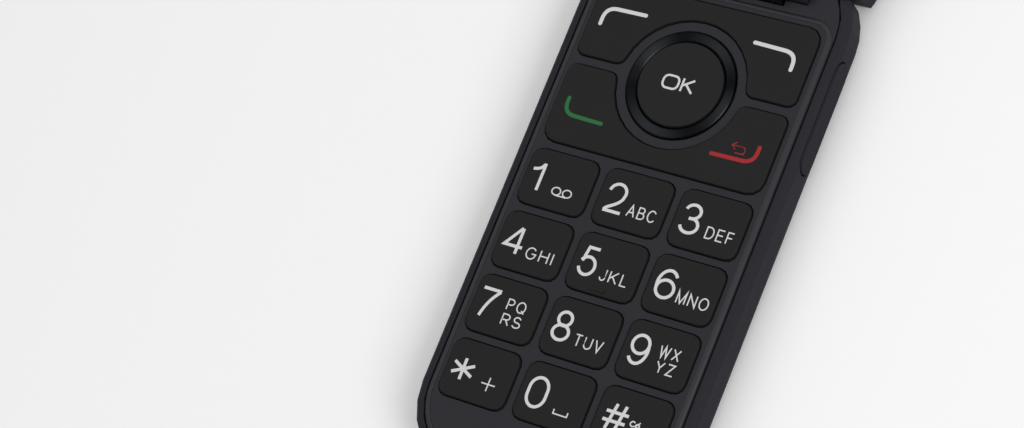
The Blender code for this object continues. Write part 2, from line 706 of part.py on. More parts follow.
def key_places():
    for row, names in enumerate(KEY_NAMES):
        for column, name in enumerate(names):
            yield name, ((column - 1) * KEY_PITCH_X, FIRST_ROW_Y - row * KEY_PITCH_Y)


def deck_openings():
    low, high = DECK_UNDER_Z - DECK_WALL / 2, DECK_Z + OVERRUN
    grow = KEY_GAP
    keys = [
        prism(rounded_rectangle(KEY_WIDTH + 2 * grow, KEY_LENGTH + 2 * grow, KEY_CORNER_RADIUS + grow,
            place), low, high)
        for _, place in key_places()
    ]
    plates = [
        prism(function_plate_outline(far, near, grow), low, high)
        for far, near in ((LOWER_PLATE_FAR_Y, LOWER_PLATE_NEAR_Y), (UPPER_PLATE_FAR_Y, UPPER_PLATE_NEAR_Y))
    ]
    return joined(*keys, *plates, prism(circle(RING_RADIUS + grow, (0, RING_Y), ROUND_SIDES), low, high))


def battery_cover(parts, cutters, look):
    made = object_of("battery_cover",
        round_edge(prism(cover_outline(0), 0, COVER_THICKNESS), 0, COVER_FILLET),
                     parts, look)
    end_y = COVER_Y - COVER_LENGTH / 2
    inside = box(
        (-COVER_CATCH_WIDTH / 2, end_y + COVER_CATCH_REACH, COVER_THICKNESS / 2),
        (COVER_CATCH_WIDTH / 2, end_y + 2 * COVER_CATCH_REACH, COVER_THICKNESS + BATTERY_SEAT_GAP),
    )
    cut(made, object_of("cover_catch_rib", inside, cutters), "UNION")
    nail = prism(
        rounded_rectangle(NAIL_SLOT_WIDTH, NAIL_SLOT_LENGTH, NAIL_SLOT_LENGTH / 2 - FIT_GAP / 3,
                          (0, COVER_Y + COVER_LENGTH / 2 - NAIL_SLOT_LENGTH)),
        -OVERRUN, COVER_THICKNESS / 2,
    )
    cut(made, object_of("nail_slot", nail, cutters))
    return made


# Keys and what lies under them

def number_keys(parts, cutters, look):
    made = {}
    for name, place in key_places():
        bm = key_solid(KEY_WIDTH, KEY_LENGTH, KEY_CORNER_RADIUS, FLANGE_Z, KEY_TOP_Z)
        bmesh.ops.translate(bm, verts=bm.verts, vec=(*place, 0))
        key = object_of("key_" + name, bm, parts, look)
        made[name] = centred(key, (*place, FLANGE_Z))
    x, y = dict(key_places())[NUB_KEY]
    nub = block(NUB_LENGTH, NUB_WIDTH, KEY_TOP_Z - NUB_RISE, KEY_TOP_Z + NUB_RISE,
                (x, y - KEY_LENGTH / 2 + NUB_EDGE_GAP))
    cut(made[NUB_KEY], object_of("five_key_nub", nub, cutters), "UNION")


def function_plate(name, far_y, near_y, parts, cutters, look):
    bm = round_edge(prism(function_plate_outline(far_y, near_y, 0), FLANGE_Z, KEY_TOP_Z), KEY_TOP_Z,
        KEY_EDGE_FILLET, 2)
    made = object_of(name, bm, parts, look)
    flange = prism(function_plate_outline(far_y, near_y, KEY_FLANGE), FLANGE_Z, FLANGE_TOP_Z)
    cut(made, object_of(name + "_flange", flange, cutters), "UNION")
    return centred(made, (0, (far_y + near_y) / 2, FLANGE_Z))


def navigation_keys(parts, cutters, looks):
    ring = ring_solid(
        [(RING_RADIUS + KEY_FLANGE, FLANGE_Z), (RING_RADIUS + KEY_FLANGE, FLANGE_TOP_Z),
            (RING_RADIUS, FLANGE_TOP_Z),
         (RING_RADIUS, RING_TOP_Z - RING_BEVEL), (RING_RADIUS - RING_BEVEL, RING_TOP_Z),
         (OK_RADIUS + KEY_GAP + RING_LIP, RING_TOP_Z), (OK_RADIUS + KEY_GAP, RING_TOP_Z - RING_LIP),
         (OK_RADIUS + KEY_GAP, FLANGE_Z)],
    )
    centred(object_of("nav_ring", ring, parts, looks["ring"]), (0, RING_Y, FLANGE_Z))
    low = FLANGE_Z - FIT_GAP - CARRIER_THICKNESS
    carrier = ring_solid(
        [(RING_RADIUS, low), (RING_RADIUS, low + CARRIER_THICKNESS),
         (CARRIER_BORE_RADIUS, low + CARRIER_THICKNESS), (CARRIER_BORE_RADIUS, low)],
    )
    centred(object_of("nav_carrier", carrier, parts, looks["inner"]), (0, RING_Y, low))
    cap = prism(circle(OK_RADIUS, (0, RING_Y), ROUND_SIDES), FLANGE_TOP_Z, KEY_TOP_Z)
    ok = object_of("ok_key", round_edge(cap, KEY_TOP_Z, KEY_EDGE_FILLET, 2), parts, looks["key"])
    stem = prism(circle(OK_STEM_RADIUS, (0, RING_Y)), PAD_TOP_Z, FLANGE_TOP_Z + DECK_WALL)
    cut(ok, object_of("ok_stem", stem, cutters), "UNION")
    centred(ok, (0, RING_Y, FLANGE_TOP_Z))


def volume_key(parts, cutters, look):
    """A long key that follows the round of the housing's side and stands a little proud of it."""
    x = BODY_WIDTH / 2
    bm = facing_x(prism(volume_outline(0), x - VOLUME_DEPTH, x + OVERRUN))
    made = object_of("volume_key", bm, parts, look)
    proud = shell_solid(BASE_THICKNESS, 0, BELLY_RADIUS, VOLUME_PROUD)
    cut(made, object_of("volume_key_face", proud, cutters), "INTERSECT")
    centred(made, (x - VOLUME_DEPTH, VOLUME_Y, VOLUME_Z))


def volume_switch(parts, look):
    back = BODY_WIDTH / 2 - VOLUME_DEPTH - VOLUME_GAP
    start = back - SWITCH_POCKET_DEPTH + FIT_GAP
    strip = box(
        (start, VOLUME_Y - SWITCH_LENGTH / 2, VOLUME_Z - SWITCH_HEIGHT / 2),
        (start + SWITCH_DEPTH, VOLUME_Y + SWITCH_LENGTH / 2, VOLUME_Z + SWITCH_HEIGHT / 2),
    )
    object_of("volume_switch_strip", strip, parts, look)


def keypad_stack(parts, cutters, looks):
    outline = deck_outline(SKIRT_WALL - DECK_MARGIN + FIT_GAP)
    mat = flat_plate("keypad_mat", outline, MAT_Z, MAT_TOP_Z, parts, looks["rubber"])
    hole = prism(circle(RING_RADIUS + KEY_FLANGE + FIT_GAP, (0, RING_Y), ROUND_SIDES), MAT_Z - OVERRUN,
        PAD_TOP_Z + OVERRUN)
    cut(mat, object_of("mat_ring_hole", hole, cutters))
    pads = joined(*(
        prism(circle(MAT_PAD_RADIUS, place, HOLE_SIDES), MAT_TOP_Z - MAT_PAD_RISE,
            PAD_TOP_Z) for _, place in key_places()
    ))
    cut(mat, object_of("mat_pads", pads, cutters), "UNION")
    sheet = flat_plate("dome_sheet", outline, DOME_SHEET_Z, DOME_SHEET_Z + DOME_SHEET_THICKNESS, parts,
        looks["metal"])
    middle = DOME_SHEET_Z + DOME_SHEET_THICKNESS / 2
    domes = joined(*(
        prism(circle(DOME_RADIUS, place, HOLE_SIDES), middle, DOME_TOP_Z) for _, place in key_places()
    ))
    cut(sheet, object_of("domes", domes, cutters), "UNION")
    low_y = BOARD_INSET - TAIL_REACH
    board = rounded_rectangle(
        BODY_WIDTH - 2 * BOARD_INSET, BOARD_END_Y - low_y, CORNER_RADIUS - BOARD_INSET,
        (0, (BOARD_END_Y + low_y) / 2),
    )
    flat_plate("main_board", board, BOARD_Z, BOARD_TOP_Z, parts, looks["board"])


# Base, inside

def battery_parts(parts, cutters, looks):
    width = BAY_WIDTH - 2 * FIT_GAP
    low_y = BAY_Y - BAY_LENGTH / 2 + FIT_GAP
    low = COVER_THICKNESS + FIT_GAP + BATTERY_SEAT_GAP
    pack = prism(
        rounded_rectangle(width, BATTERY_LENGTH, BATTERY_CORNER_RADIUS, (0, low_y + BATTERY_LENGTH / 2)),
        low, low + BATTERY_THICKNESS,
    )
    object_of("battery", round_edge(pack, low, BATTERY_FILLET, 2), parts, looks["battery"])
    high_y = BAY_Y + BAY_LENGTH / 2 - FIT_GAP
    top = BAY_DEPTH - FIT_GAP
    middle_y = high_y - CONTACT_BLOCK_LENGTH / 2
    contact = object_of(
        "battery_contacts",
        block(CONTACT_BLOCK_WIDTH, CONTACT_BLOCK_LENGTH, top - CONTACT_BLOCK_HEIGHT, top, (0, middle_y)),
        parts, looks["inner"],
    )
    front = high_y - CONTACT_BLOCK_LENGTH
    blades = joined(*(
        box(
            (place * CONTACT_BLADE_PITCH - CONTACT_BLADE_WIDTH / 2, front - CONTACT_BLADE_REACH,
             top - CONTACT_BLOCK_HEIGHT + CONTACT_BLADE_REACH),
            (place * CONTACT_BLADE_PITCH + CONTACT_BLADE_WIDTH / 2, front + CONTACT_BLADE_REACH,
             top - CONTACT_BLADE_REACH),
        )
        for place in (-1, 0, 1)
    ))
    cut(contact, object_of("contact_blades", blades, cutters), "UNION")


def under_board_parts(parts, cutters, looks):
    top = BOARD_FLOOR_Z
    speaker = rounded_rectangle(SPEAKER_WIDTH, SPEAKER_LENGTH, SPEAKER_CORNER_RADIUS, (SPEAKER_X, SPEAKER_Y))
    object_of("loudspeaker", prism(speaker, top - SPEAKER_HEIGHT, top), parts, looks["metal"])
    sim = object_of(
        "sim_holder", block(SIM_WIDTH, SIM_LENGTH, top - SIM_HEIGHT, top,
            (SIM_X, SIM_Y)), parts, looks["metal"]
    )
    slot = block(SIM_WIDTH - 2 * SIM_WALL, SIM_LENGTH, top - SIM_HEIGHT + SIM_WALL, top - SIM_WALL,
                 (SIM_X, SIM_Y - 2 * SIM_WALL))
    cut(sim, object_of("sim_slot", slot, cutters))
    motor = prism(circle(MOTOR_RADIUS, (MOTOR_X, TAIL_PARTS_Y)), top - MOTOR_HEIGHT, top)
    object_of("vibration_motor", motor, parts, looks["metal"])
    microphone = prism(circle(MIC_RADIUS, (MIC_X, TAIL_PARTS_Y)), top - MIC_HEIGHT, top)
    object_of("microphone", microphone, parts, looks["metal"])
    object_of(
        "antenna_carrier", block(ANTENNA_WIDTH, ANTENNA_LENGTH, top - ANTENNA_HEIGHT, top, (0, ANTENNA_Y)),
        parts, looks["inner"],
    )


def charging_port(parts, cutters, look):
    front = PORT_SETBACK - TAIL_REACH
    made = object_of("charging_port", port_block(0, front, front + PORT_DEPTH), parts, look)
    cut(made,
        object_of("port_mouth", port_block(-PORT_WALL, front - OVERRUN, front + PORT_DEPTH - PORT_WALL), cutters))
    tongue = box(
        (-PORT_WIDTH / PORT_TONGUE_SHARE, front + PORT_WALL, PORT_Z - PORT_TONGUE_HEIGHT / 2),
        (PORT_WIDTH / PORT_TONGUE_SHARE, front + PORT_DEPTH - PORT_WALL / 2,
            PORT_Z + PORT_TONGUE_HEIGHT / 2),
    )
    cut(made, object_of("port_tongue", tongue, cutters), "UNION")


def port_block(grow, start, end):
    half_x, half_z = PORT_WIDTH / 2 + grow, PORT_HEIGHT / 2 + grow
    return box((-half_x, start, PORT_Z - half_z), (half_x, end, PORT_Z + half_z))


# Hinge, carried by the lid

def hinge_parts(parts, cutters, looks):
    half = BARREL_LENGTH / 2
    barrel = object_of(
        "hinge_barrel", cylinder_x(BARREL_RADIUS, -half, half, HINGE_Y, HINGE_Z,
            ROUND_SIDES), parts, looks["gloss"]
    )
    tongue = box(
        (-TONGUE_WIDTH / 2, HINGE_Y - TONGUE_LENGTH, TONGUE_Z),
        (TONGUE_WIDTH / 2, HINGE_Y, TONGUE_Z + TONGUE_THICKNESS),
    )
    tongue_cutter = object_of("barrel_tongue", tongue, cutters)
    cut(barrel, tongue_cutter, "UNION")
    bore = object_of("barrel_bore",
        cylinder_x(BARREL_BORE_RADIUS, -half - OVERRUN, half + OVERRUN, HINGE_Y, HINGE_Z),
                     cutters)
    cut(barrel, bore)
    radius = BARREL_BORE_RADIUS - FIT_GAP
    end = half + PIN_REACH
    module = [(0, half - MODULE_LENGTH), (radius, half - MODULE_LENGTH), (radius, half), (PIN_RADIUS, half),
              (PIN_RADIUS, end), (0, end)]
    bush = [(0, -end), (PIN_RADIUS, -end), (PIN_RADIUS, -half), (radius, -half),
        (radius, BUSH_LENGTH - half),
            (0, BUSH_LENGTH - half)]
    cam = object_of("hinge_cam_module", turned_x(module, HINGE_Y, HINGE_Z), parts, looks["metal"])
    plain = object_of("hinge_bush", turned_x(bush, HINGE_Y, HINGE_Z), parts, looks["metal"])
    start = BUSH_LENGTH - half + FIT_GAP
    roll = object_of(
        "display_flex_roll", cylinder_x(radius, start, start + FLEX_ROLL_LENGTH, HINGE_Y,
            HINGE_Z), parts, looks["flex"]
    )
    hollow = object_of(
        "flex_roll_bore",
        cylinder_x(radius - FLEX_ROLL_WALL, start - OVERRUN, start + FLEX_ROLL_LENGTH + OVERRUN, HINGE_Y,
            HINGE_Z),
        cutters,
    )
    cut(roll, hollow)
    return [barrel, cam, plain, roll]


# Lid, built closed

def lid_outer_cover(parts, cutters, look):
    made = object_of(
        "lid_outer_cover", shell_solid(LID_RIM_Z, LID_TOP_Z, LID_BELLY_RADIUS,
            hinge_end=LID_END), parts, look
    )
    below = LID_RIM_Z - OVERRUN
    mouth = prism(shell_outline(SEAT_INSET, hinge_end=LID_END), below, FRAME_BACK_Z)
    cut(made, object_of("lid_mouth", mouth, cutters))
    room = prism(shell_outline(WALL_INSET, hinge_end=LID_END), below, ROOF_Z)
    cut(made, object_of("lid_room", room, cutters))
    over = LID_TOP_Z + OVERRUN
    sub_seat = prism(
        rounded_rectangle(SUB_LENS_WIDTH + 2 * LENS_GAP, SUB_LENS_LENGTH + 2 * LENS_GAP,
                          LENS_CORNER_RADIUS + LENS_GAP, (0, SUB_LENS_Y)),
        LID_TOP_Z - SUB_LENS_THICKNESS - LENS_GAP, over,
    )
    camera_seat = prism(circle(CAMERA_RING_RADIUS + LENS_GAP, (0, CAMERA_Y), ROUND_SIDES),
                        LID_TOP_Z - CAMERA_RING_DEPTH, over)
    cut(made, object_of("outer_seats", joined(sub_seat, camera_seat), cutters))
    openings = joined(
        block(SUB_VIEW_WIDTH, SUB_VIEW_LENGTH, ROOF_Z - OVERRUN, over, (0, SUB_LENS_Y)),
        prism(circle(CAMERA_HOLE_RADIUS, (0, CAMERA_Y)), ROOF_Z - OVERRUN, over),
        prism(circle(FLASH_RADIUS + LENS_GAP, (FLASH_X, CAMERA_Y)), ROOF_Z - OVERRUN, over),
    )
    cut(made, object_of("outer_openings", openings, cutters))
    grow = FIT_GAP
    tongue = block(TONGUE_WIDTH, TONGUE_LENGTH, TONGUE_Z - grow, TONGUE_Z + TONGUE_THICKNESS + grow,
                   (0, HINGE_Y - TONGUE_LENGTH / 2), grow)
    cut(made, object_of("tongue_room", tongue, cutters))
    cut(made, barrel_room("lid_barrel_room", cutters))
    cut(made, cheek_room("lid_cheek_room", cutters))
    return made


def lid_inner_frame(parts, cutters, look):
    made = object_of("lid_inner_frame",
        prism(shell_outline(COVER_INSET, hinge_end=LID_END), FRAME_Z, FRAME_BACK_Z - FIT_GAP), parts, look)
    seat = prism(
        rounded_rectangle(LENS_WIDTH + 2 * LENS_GAP, LENS_LENGTH + 2 * LENS_GAP,
            LENS_CORNER_RADIUS + LENS_GAP,
                          (0, SCREEN_Y)),
        FRAME_Z - OVERRUN, FRAME_Z + LENS_THICKNESS + LENS_GAP,
    )
    mesh_seat = block(MESH_WIDTH, MESH_LENGTH, FRAME_Z - OVERRUN, FRAME_Z + MESH_THICKNESS + LENS_GAP,
                      (0, EARPIECE_Y), LENS_GAP)
    bumper_seats = [
        prism(circle(BUMPER_RADIUS + LENS_GAP, (side * BUMPER_X, BUMPER_Y)), FRAME_Z - OVERRUN,
            FRAME_Z + BUMPER_SINK)
        for side in (-1, 1)
    ]
    cut(made, object_of("lens_and_bumper_seats", joined(seat, mesh_seat, *bumper_seats), cutters))
    through = FRAME_BACK_Z + OVERRUN
    view = joined(
        prism(rounded_rectangle(VIEW_WIDTH, VIEW_LENGTH, VIEW_CORNER_RADIUS, (0, SCREEN_Y)),
            FRAME_Z - OVERRUN, through),
        block(MESH_WIDTH - 2 * FIT_GAP, MESH_LENGTH - 2 * FIT_GAP, FRAME_Z - OVERRUN, through,
            (0, EARPIECE_Y)),
    )
    cut(made, object_of("screen_view", view, cutters))
    cut(made, barrel_room("frame_barrel_room", cutters))
    cut(made, cheek_room("frame_cheek_room", cutters))
    return made


def screen_parts(parts, looks):
    lens = rounded_rectangle(LENS_WIDTH, LENS_LENGTH, LENS_CORNER_RADIUS, (0, SCREEN_Y))
    module = rounded_rectangle(DISPLAY_WIDTH, DISPLAY_LENGTH, VIEW_CORNER_RADIUS, (0, SCREEN_Y), 1)
    board = rounded_rectangle(LID_BOARD_WIDTH, LID_BOARD_LENGTH, VIEW_CORNER_RADIUS, (0, SCREEN_Y), 1)
    sub_lens = rounded_rectangle(SUB_LENS_WIDTH, SUB_LENS_LENGTH, LENS_CORNER_RADIUS, (0, SUB_LENS_Y))
    sub_module = rounded_rectangle(SUB_LENS_WIDTH, SUB_LENS_LENGTH, VIEW_CORNER_RADIUS, (0, SUB_LENS_Y), 1)
    layers = (
        ("screen_window", lens, FRAME_Z, LENS_THICKNESS, "glass"),
        ("main_display", module, DISPLAY_Z, DISPLAY_THICKNESS, "display"),
        ("lid_board", board, LID_BOARD_Z, LID_BOARD_THICKNESS, "board"),
        ("outer_window", sub_lens, LID_TOP_Z - SUB_LENS_THICKNESS, SUB_LENS_THICKNESS, "glass"),
        ("outer_display", sub_module, SUB_DISPLAY_Z, SUB_DISPLAY_THICKNESS, "display"),
    )
    return [
        flat_plate(name, outline, low, low + thickness, parts, looks[look])
        for name, outline, low, thickness, look in layers
    ]


def camera_parts(parts, looks):
    ring_low = LID_TOP_Z - CAMERA_RING_DEPTH + LENS_GAP
    ring_top = LID_TOP_Z + CAMERA_RING_PROUD
    inner = CAMERA_WINDOW_RADIUS + LENS_GAP
    lip = ring_low + CAMERA_LIP
    ring = ring_solid(
        [(CAMERA_RING_RADIUS, ring_low), (CAMERA_RING_RADIUS, ring_top - CAMERA_RING_PROUD),
         (CAMERA_RING_RADIUS - CAMERA_RING_PROUD, ring_top), (inner, ring_top), (inner, lip),
         (CAMERA_HOLE_RADIUS, lip), (CAMERA_HOLE_RADIUS, ring_low)],
        CAMERA_Y,
    )
    window = prism(circle(CAMERA_WINDOW_RADIUS, (0, CAMERA_Y)), lip + LENS_GAP, ring_top - LENS_GAP)
    module_top = ROOF_Z - FIT_GAP
    module = block(CAMERA_SIDE, CAMERA_SIDE, module_top - CAMERA_HEIGHT, module_top, (0, CAMERA_Y))
    flash = prism(circle(FLASH_RADIUS, (FLASH_X, CAMERA_Y)), LID_TOP_Z - FLASH_HEIGHT, LID_TOP_Z)
    return [
        object_of("camera_ring", ring, parts, looks["ring"]),
        object_of("camera_window", window, parts, looks["glass"]),
        object_of("camera_module", module, parts, looks["inner"]),
        object_of("flash_window", flash, parts, looks["flash"]),
    ]


def lid_small_parts(parts, cutters, looks):
    earpiece = rounded_rectangle(EARPIECE_WIDTH, EARPIECE_LENGTH, VIEW_CORNER_RADIUS * 2, (0, EARPIECE_Y))
    mesh = object_of(
        "earpiece_mesh",
        block(MESH_WIDTH, MESH_LENGTH, FRAME_Z, FRAME_Z + MESH_THICKNESS,
            (0, EARPIECE_Y)), parts, looks["metal"],
    )
    pitch = MESH_WIDTH / (MESH_SLOT_COUNT + 1)
    slots = joined(*(
        block(MESH_SLOT_WIDTH, MESH_LENGTH / 2, FRAME_Z - OVERRUN, FRAME_Z + OVERRUN,
              ((place - (MESH_SLOT_COUNT - 1) / 2) * pitch, EARPIECE_Y))
        for place in range(MESH_SLOT_COUNT)
    ))
    cut(mesh, object_of("mesh_slots", slots, cutters))
    made = [
        flat_plate("earpiece", earpiece, DISPLAY_Z, DISPLAY_Z + EARPIECE_HEIGHT, parts, looks["metal"]),
        mesh,
        object_of(
            "lid_magnet",
            block(MAGNET_SIDE, MAGNET_LENGTH, DISPLAY_Z, DISPLAY_Z + MAGNET_THICKNESS,
                (MAGNET_X, EARPIECE_Y)),
            parts, looks["metal"],
        ),
    ]
    for name, side in (("left", -1), ("right", 1)):
        bumper = prism(circle(BUMPER_RADIUS, (side * BUMPER_X, BUMPER_Y)), DECK_Z + FIT_GAP,
            FRAME_Z + BUMPER_SINK - LENS_GAP)
        round_edge(bumper, DECK_Z + FIT_GAP, BUMPER_FILLET, 2)
        made.append(object_of("lid_bumper_" + name, bumper, parts, looks["rubber"]))
    return made


def swing_open(pieces, group):
    """Hangs the closed lid's pieces, and what cuts them, on an empty at the hinge, and turns it open."""
    axis = bpy.data.objects.new("lid_axis", None)
    group.objects.link(axis)
    axis.location = (0, HINGE_Y, HINGE_Z)
    axis.rotation_euler = (-OPEN_ANGLE, 0, 0)
    hung = set()
    for piece in pieces:
        hung.add(piece)
        hung.update(modifier.object for modifier in piece.modifiers)
    for item in hung:
        item.data.transform(Matrix.Translation((0, -HINGE_Y, -HINGE_Z)))
        item.parent = axis


def main():
    clear_scene()
    parts = new_collection("Flip phone")
    cutters = new_collection("Cutters")
    looks = {
        "shell": material("satin_black_shell", (0.030, 0.029, 0.033), 0.42),
        "key": material("matte_black_key", (0.019, 0.019, 0.020), 0.5),
        "ring": material("turned_dark_metal", (0.03, 0.032, 0.037), 0.28, 0.8),
        "gloss": material("gloss_black_plastic", (0.006, 0.006, 0.007), 0.12),
        "rubber": material("grey_silicone", (0.12, 0.12, 0.13), 0.7),
        "metal": material("nickel_plate", (0.55, 0.55, 0.53), 0.35, 1.0),
        "board": material("green_circuit_board", (0.02, 0.11, 0.05), 0.45),
        "inner": material("black_moulding", (0.02, 0.02, 0.022), 0.6),
        "battery": material("battery_sleeve", (0.04, 0.04, 0.045), 0.55),
        "flex": material("amber_flex", (0.35, 0.16, 0.04), 0.4),
        "glass": material("dark_window", (0.005, 0.006, 0.008), 0.06),
        "display": material("display_module", (0.05, 0.055, 0.06), 0.3),
        "flash": material("frosted_window", (0.8, 0.78, 0.7), 0.3),
    }
    rear_housing(parts, cutters, looks["shell"])
    front_cover(parts, cutters, looks["shell"])
    battery_cover(parts, cutters, looks["shell"])
    number_keys(parts, cutters, looks["key"])
    function_plate("upper_plate", UPPER_PLATE_FAR_Y, UPPER_PLATE_NEAR_Y, parts, cutters, looks["key"])
    function_plate("lower_plate", LOWER_PLATE_FAR_Y, LOWER_PLATE_NEAR_Y, parts, cutters, looks["key"])
    navigation_keys(parts, cutters, looks)
    volume_key(parts, cutters, looks["key"])
    volume_switch(parts, looks["board"])
    keypad_stack(parts, cutters, looks)
    battery_parts(parts, cutters, looks)
    under_board_parts(parts, cutters, looks)
    charging_port(parts, cutters, looks["metal"])
    lid = hinge_parts(parts, cutters, looks)
    lid += [lid_outer_cover(parts, cutters, looks["shell"]), lid_inner_frame(parts, cutters, looks["shell"])]
    lid += screen_parts(parts, looks) + camera_parts(parts, looks) + lid_small_parts(parts, cutters, looks)
    swing_open(lid, parts)


main()
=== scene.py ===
"""Surface finishes, printed legends, a turned ring and the stage for a flip phone on its CAD frame."""

import math

import bmesh
import bpy
from mathutils import Matrix, Vector


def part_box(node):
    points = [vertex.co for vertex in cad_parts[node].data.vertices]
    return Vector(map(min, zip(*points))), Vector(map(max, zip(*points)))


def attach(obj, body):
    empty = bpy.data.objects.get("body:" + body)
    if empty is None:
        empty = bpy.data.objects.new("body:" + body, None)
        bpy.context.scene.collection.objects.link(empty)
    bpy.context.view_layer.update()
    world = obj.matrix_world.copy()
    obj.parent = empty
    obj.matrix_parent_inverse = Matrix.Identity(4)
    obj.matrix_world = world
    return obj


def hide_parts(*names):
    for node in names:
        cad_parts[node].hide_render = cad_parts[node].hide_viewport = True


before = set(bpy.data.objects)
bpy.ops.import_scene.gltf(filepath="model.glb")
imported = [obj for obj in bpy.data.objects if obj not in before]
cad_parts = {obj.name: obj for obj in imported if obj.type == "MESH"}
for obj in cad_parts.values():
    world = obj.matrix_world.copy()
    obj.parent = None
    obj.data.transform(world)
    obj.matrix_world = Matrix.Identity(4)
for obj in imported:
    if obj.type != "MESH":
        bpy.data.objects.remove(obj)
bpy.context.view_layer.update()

bl_info = {
    "name": "Flip phone finish",
    "version": (1, 0, 0),
    "blender": (4, 5, 0),
    "location": "View3D > Sidebar > Flip phone",
    "description": "Surface finishes, printed legends and a turned ring for the flip phone",
    "category": "Object",
}

MM = 0.001
DEGREE = math.pi / 180


def highest(node):
    """The height of a node's top at rest."""
    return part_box(node)[1][2]


def middle(node):
    """The middle of a node's box at rest."""
    low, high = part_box(node)
    return (Vector(low) + Vector(high)) / 2


# Sizes and colours that a user may change

def linear(code):
    """An sRGB hex value as a linear colour."""
    shares = [int(code[i:i + 2], 16) / 255 for i in (0, 2, 4)]
    return tuple(s / 12.92 if s <= 0.04045 else ((s + 0.055) / 1.055) ** 2.4 for s in shares)


def length_property(name, description, default):
    """A length in metres that the sidebar shows in the scene's own unit."""
    return bpy.props.FloatProperty(
        name=name, description=description, default=default, subtype="DISTANCE", unit="LENGTH", precision=5
    )


def colour_property(name, description, code):
    """A colour that starts from an sRGB hex value."""
    return bpy.props.FloatVectorProperty(
        name=name, description=description, default=linear(code), subtype="COLOR", min=0, max=1
    )


class PhoneSizes(bpy.types.PropertyGroup):
    """The lengths of the finish that a user may change"""
    deck_round: length_property("Deck edge round", "Radius of the round along the deck's edge", 0.95 * MM)
    digit_stroke: length_property("Digit stroke", "Width of the digits' lines", 0.6 * MM)
    letter_stroke: length_property("Letter stroke", "Width of the letters' lines", 0.25 * MM)
    centre_stroke: length_property("Centre stroke", "Width of the centre key's letters' lines", 0.42 * MM)
    mark_stroke: length_property("Mark stroke", "Width of the corner marks", 0.78 * MM)
    arrow_stroke: length_property("Arrow stroke", "Width of the return arrow's lines", 0.16 * MM)
    ink_rise: length_property("Ink rise", "How far the print stands above its key", 0.02 * MM)
    ring_groove: length_property("Turning pitch", "Spacing of the fine lines turned into the ring", 0.18 * MM)


class PhoneColours(bpy.types.PropertyGroup):
    """The colours of the finish that a user may change"""
    case: colour_property("Case", "Satin moulding of the deck and the frame round the screen", "1f1e23")
    shell: colour_property("Shell", "Matte moulding of both outer shells", "29282d")
    keys: colour_property("Keys", "Key caps and function plates", "1c1c1d")
    ring: colour_property("Ring", "Dark turned metal of the navigation ring", "242629")
    print: colour_property("Print", "Digits, letters and corner marks", "c8c8ca")
    call: colour_property("Call mark", "Corner mark on the call side", "235f33")
    end: colour_property("End mark", "Corner mark and arrow on the end side", "952127")
    paper: colour_property("Paper", "Floor and background of the stage", "f0f0f0")


# Materials: each is drawn on object coordinates, which are the frame's own metres

# The colour sockets of a Mix node, by their place
MIX_FACTOR, MIX_A, MIX_B, MIX_RESULT = 0, 6, 7, 2
# How far apart a wave texture's bands lie at a scale of 1
WAVE_PITCH = math.tau / 20


def fill(node, inputs):
    """Sets a node's inputs: a socket is linked, and anything else is a value."""
    for name, value in inputs.items():
        if isinstance(value, bpy.types.NodeSocket):
            node.id_data.links.new(value, node.inputs[name])
        else:
            node.inputs[name].default_value = value


def add_node(tree, kind, inputs, **settings):
    """Adds one shader node, with its settings and its inputs."""
    node = tree.nodes.new("ShaderNode" + kind)
    for name, value in settings.items():
        setattr(node, name, value)
    fill(node, inputs)
    return node


def new_material(name):
    """A material, its node tree, its shader and the object coordinates to draw on."""
    made = bpy.data.materials.new(name)
    made.use_nodes = True
    tree = made.node_tree
    place = add_node(tree, "TexCoord", {}).outputs["Object"]
    return made, tree, tree.nodes["Principled BSDF"], place


def shade(colour, share):
    """A lighter or darker tone of a colour, with its alpha."""
    return tuple(min(1, c * share) for c in colour) + (1,)


def moulding(name, colour, grain, depth, roughness, level=0.5):
    """Plastic injection-moulded in a spark-eroded tool: satin, with an even grain and faint flow patches."""
    made, tree, shader, place = new_material(name)
    # Real erosion grain is about 0.05 mm, too fine to show, so it is drawn at the size given.
    fine = add_node(tree, "TexNoise", {"Vector": place, "Scale": 1 / grain, "Detail": 3.0})
    flow = add_node(tree, "TexNoise", {"Vector": place, "Scale": 1 / (9 * MM), "Detail": 1.0})
    tone = add_node(
        tree, "Mix",
        {MIX_FACTOR: fine.outputs["Fac"], MIX_A: shade(colour, 0.84), MIX_B: shade(colour, 1.16)},
        data_type="RGBA",
    )
    satin = add_node(
        tree, "MapRange",
        {"Value": flow.outputs["Fac"], "To Min": roughness - 0.05, "To Max": roughness + 0.05},
    )
    relief = add_node(tree, "Bump", {"Height": fine.outputs["Fac"], "Distance": depth})
    fill(shader, {
        "Base Color": tone.outputs[MIX_RESULT], "Roughness": satin.outputs["Result"],
        "Normal": relief.outputs["Normal"], "Specular IOR Level": level,
    })
    return made


def gloss_moulding(name, colour, roughness):
    """Acrylic or gloss ABS from a polished tool: mirror smooth, with the slow waves of a moulded face."""
    made, tree, shader, place = new_material(name)
    wave = add_node(tree, "TexNoise", {"Vector": place, "Scale": 1 / (7 * MM), "Detail": 1.0})
    tone = add_node(
        tree, "Mix",
        {MIX_FACTOR: wave.outputs["Fac"], MIX_A: shade(colour, 0.8), MIX_B: shade(colour, 1.2)},
        data_type="RGBA",
    )
    relief = add_node(tree, "Bump", {"Height": wave.outputs["Fac"], "Distance": 0.01 * MM})
    fill(shader, {
        "Base Color": tone.outputs[MIX_RESULT], "Normal": relief.outputs["Normal"], "Roughness": roughness,
    })
    return made


# Painted reflection: the ring's colour is made light and dark round it, standing in for the glare off the
# turned metal. Each entry gives degrees from -X and brightness
RING_PAINTED_GLARE = (
    (0, 0.15), (15, 0.0), (75, 0.85), (125, 0.0), (168, 0.75), (195, 0.0), (240, 0.75), (290, 0.0),
    (330, 1.0), (360, 0.15),
)


